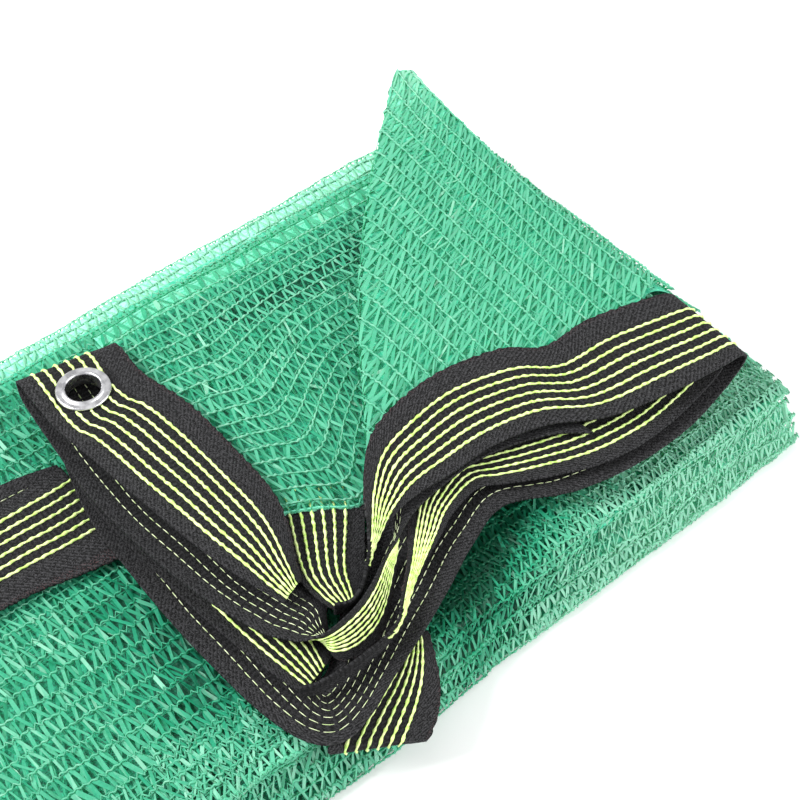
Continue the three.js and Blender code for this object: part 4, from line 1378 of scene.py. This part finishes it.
eyeletShape = {
    "centre": (-3.5, 51.5, 43.8),
    "profile": [  # radius and height from the middle of the tape, round the section
        (6.2, 1.3), (6.25, 1.85), (6.5, 2.3), (6.9, 2.5), (7.3, 2.35), (7.6, 1.95), (7.9, 1.75),
        (8.3, 1.8), (9.0, 1.95), (9.5, 1.85), (9.8, 1.55), (9.9, 1.2), (9.9, 1.0), (9.6, 0.85),
        (7.4, 0.8), (7.1, 0.5), (7.1, -2.7), (7.9, -2.85), (8.0, -3.2), (7.6, -3.5),
        (6.6, -3.5), (6.2, -3.2), (6.2, -1.0),
    ],
    "washer": [(7.6, -1.05), (9.2, -1.0), (9.4, -1.2), (9.4, -1.7), (9.2, -1.9), (7.6, -1.85)],
    "turns": 96,
    "hole": (7.2, 13, 2.6),  # rim of the tape's hole, reach of the points moved, and what is cut
    "clear": 9.6,  # no stitch lies nearer to the centre
}


# True within the eyelet's flange.
def nearEyelet(place):
    cx, cy, _ = eyeletShape["centre"]
    return np.hypot(place[..., 0] - cx, place[..., 1] - cy) < eyeletShape["clear"]


# Every tape with its stitching.
def dressTapes():
    chains, dashes = [], []
    for number, (name, tape) in enumerate(tapes.items()):
        eyelet = name == "tapeEyelet"
        cloth = tapeCloth(tape["rows"], 80 + number, eyelet)
        hole = (*eyeletShape["centre"][:2], *eyeletShape["hole"]) if eyelet else None
        piece = addTape(name, tape["node"], cloth, hole)
        shift, kink = tape.get("shift", 0), tape.get("kink")
        skip = nearEyelet if eyelet else None
        chains.append(stitchRings(cloth, tape["front"], "chain", shift, 40 + number, skip, kink))
        dashes.append(stitchRings(cloth, -tape["front"], "dash", shift, 60 + number, skip))
    half = len(chains) // 2
    addThread("chainStitchUpper", limeThread, chains[:half])
    addThread("chainStitchLower", limeThread, chains[half:])
    addThread("backStitch", paleThread, dashes)


# Ring turned about the eyelet's axis from a closed profile of radius and height.
def addRing(name, node, profile, material):
    profile = np.asarray(profile, float)
    turn = np.linspace(0, math.tau, eyeletShape["turns"], endpoint=False)[:, None]
    cx, cy, cz = eyeletShape["centre"]
    points = np.stack([
        cx + profile[:, 0] * np.cos(turn),
        cy + profile[:, 0] * np.sin(turn),
        cz + profile[:, 1] + 0 * turn,
    ], axis=-1)
    index = np.arange(points[..., 0].size).reshape(points.shape[:2])
    across, along = np.roll(index, -1, axis=1), np.roll(index, -1, axis=0)
    quads = np.stack([index, across, np.roll(across, -1, axis=0), along], axis=-1)
    piece = addPiece(name, points, [quads], material)
    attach(piece, "root")
    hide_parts(node)
    return piece


# Bright metal, darker and rougher in patches of a coarse noise, with a fine grain.
def metalMaterial():
    finish = Finish("pressedAluminium")
    place = finish.place()
    patchy = finish.noise(place, 260.0, 4.0)
    fine = finish.noise(place, 1900.0)
    return finish.output(finish.surface({
        "Base Color": finish.mixColour(patchy.ease(0.35, 0.7), rgb(0.50, 0.50, 0.52), rgb(0.86, 0.86, 0.88)),
        "Metallic": 1.0,
        "Roughness": 0.20 + patchy * 0.16,
        "Normal": finish.bump(fine, 0.25, 0.0002),
    }))


dressTapes()
metal = metalMaterial()
addRing("eyeletRing", "eyelet", eyeletShape["profile"], metal)
addRing("eyeletBack", "eyelet_washer", eyeletShape["washer"], metal)
print("tape and eyelet dressed")

studio = {
    "world": 0.78,
    "floor": (4000.0, -0.05),  # half its side and its height, in mm
    "lamps": [  # name, place, aim, size, power
        ("keyLamp", (-1.1, 0.7, 1.3), (0.05, 0.0, 0.0), 0.8, 48.0),
        ("fillLamp", (1.0, -1.1, 0.8), (0.05, 0.0, 0.0), 1.4, 22.0),
    ],
}


# A plain square, almost white, with soft clouds of tone.
def paleFloor():
    finish = Finish("paleFloor")
    soft = finish.noise(finish.place(), 3.0)
    colour = finish.mixColour(soft.ease(0.3, 0.7), rgb(0.93, 0.93, 0.93), rgb(0.96, 0.96, 0.96))
    material = finish.output(finish.surface({"Base Color": colour, "Roughness": 0.9}))
    size, height = studio["floor"]
    corners = [(-size, -size, height), (size, -size, height), (size, size, height), (-size, size, height)]
    floor = addPiece("floor", corners, [np.array([[0, 1, 2, 3]])], material)


# Even white light from all round, and a round lamp at each place, turned to its aim.
def lightStudio():
    world = bpy.data.worlds.new("studio")
    world.use_nodes = True
    world.node_tree.nodes["Background"].inputs["Color"].default_value = (1, 1, 1, 1)
    world.node_tree.nodes["Background"].inputs["Strength"].default_value = studio["world"]
    bpy.context.scene.world = world
    for name, place, aim, size, power in studio["lamps"]:
        lamp = bpy.data.lights.new(name, "AREA")
        lamp.shape = "DISK"
        lamp.size = size
        lamp.energy = power
        holder = bpy.data.objects.new(name, lamp)
        holder.location = place
        holder.rotation_mode = "QUATERNION"
        holder.rotation_quaternion = (Vector(aim) - Vector(place)).to_track_quat("-Z", "Y")
        bpy.context.collection.objects.link(holder)
    bpy.context.scene.view_settings.view_transform = "Standard"


paleFloor()
lightStudio()
print("studio lit")
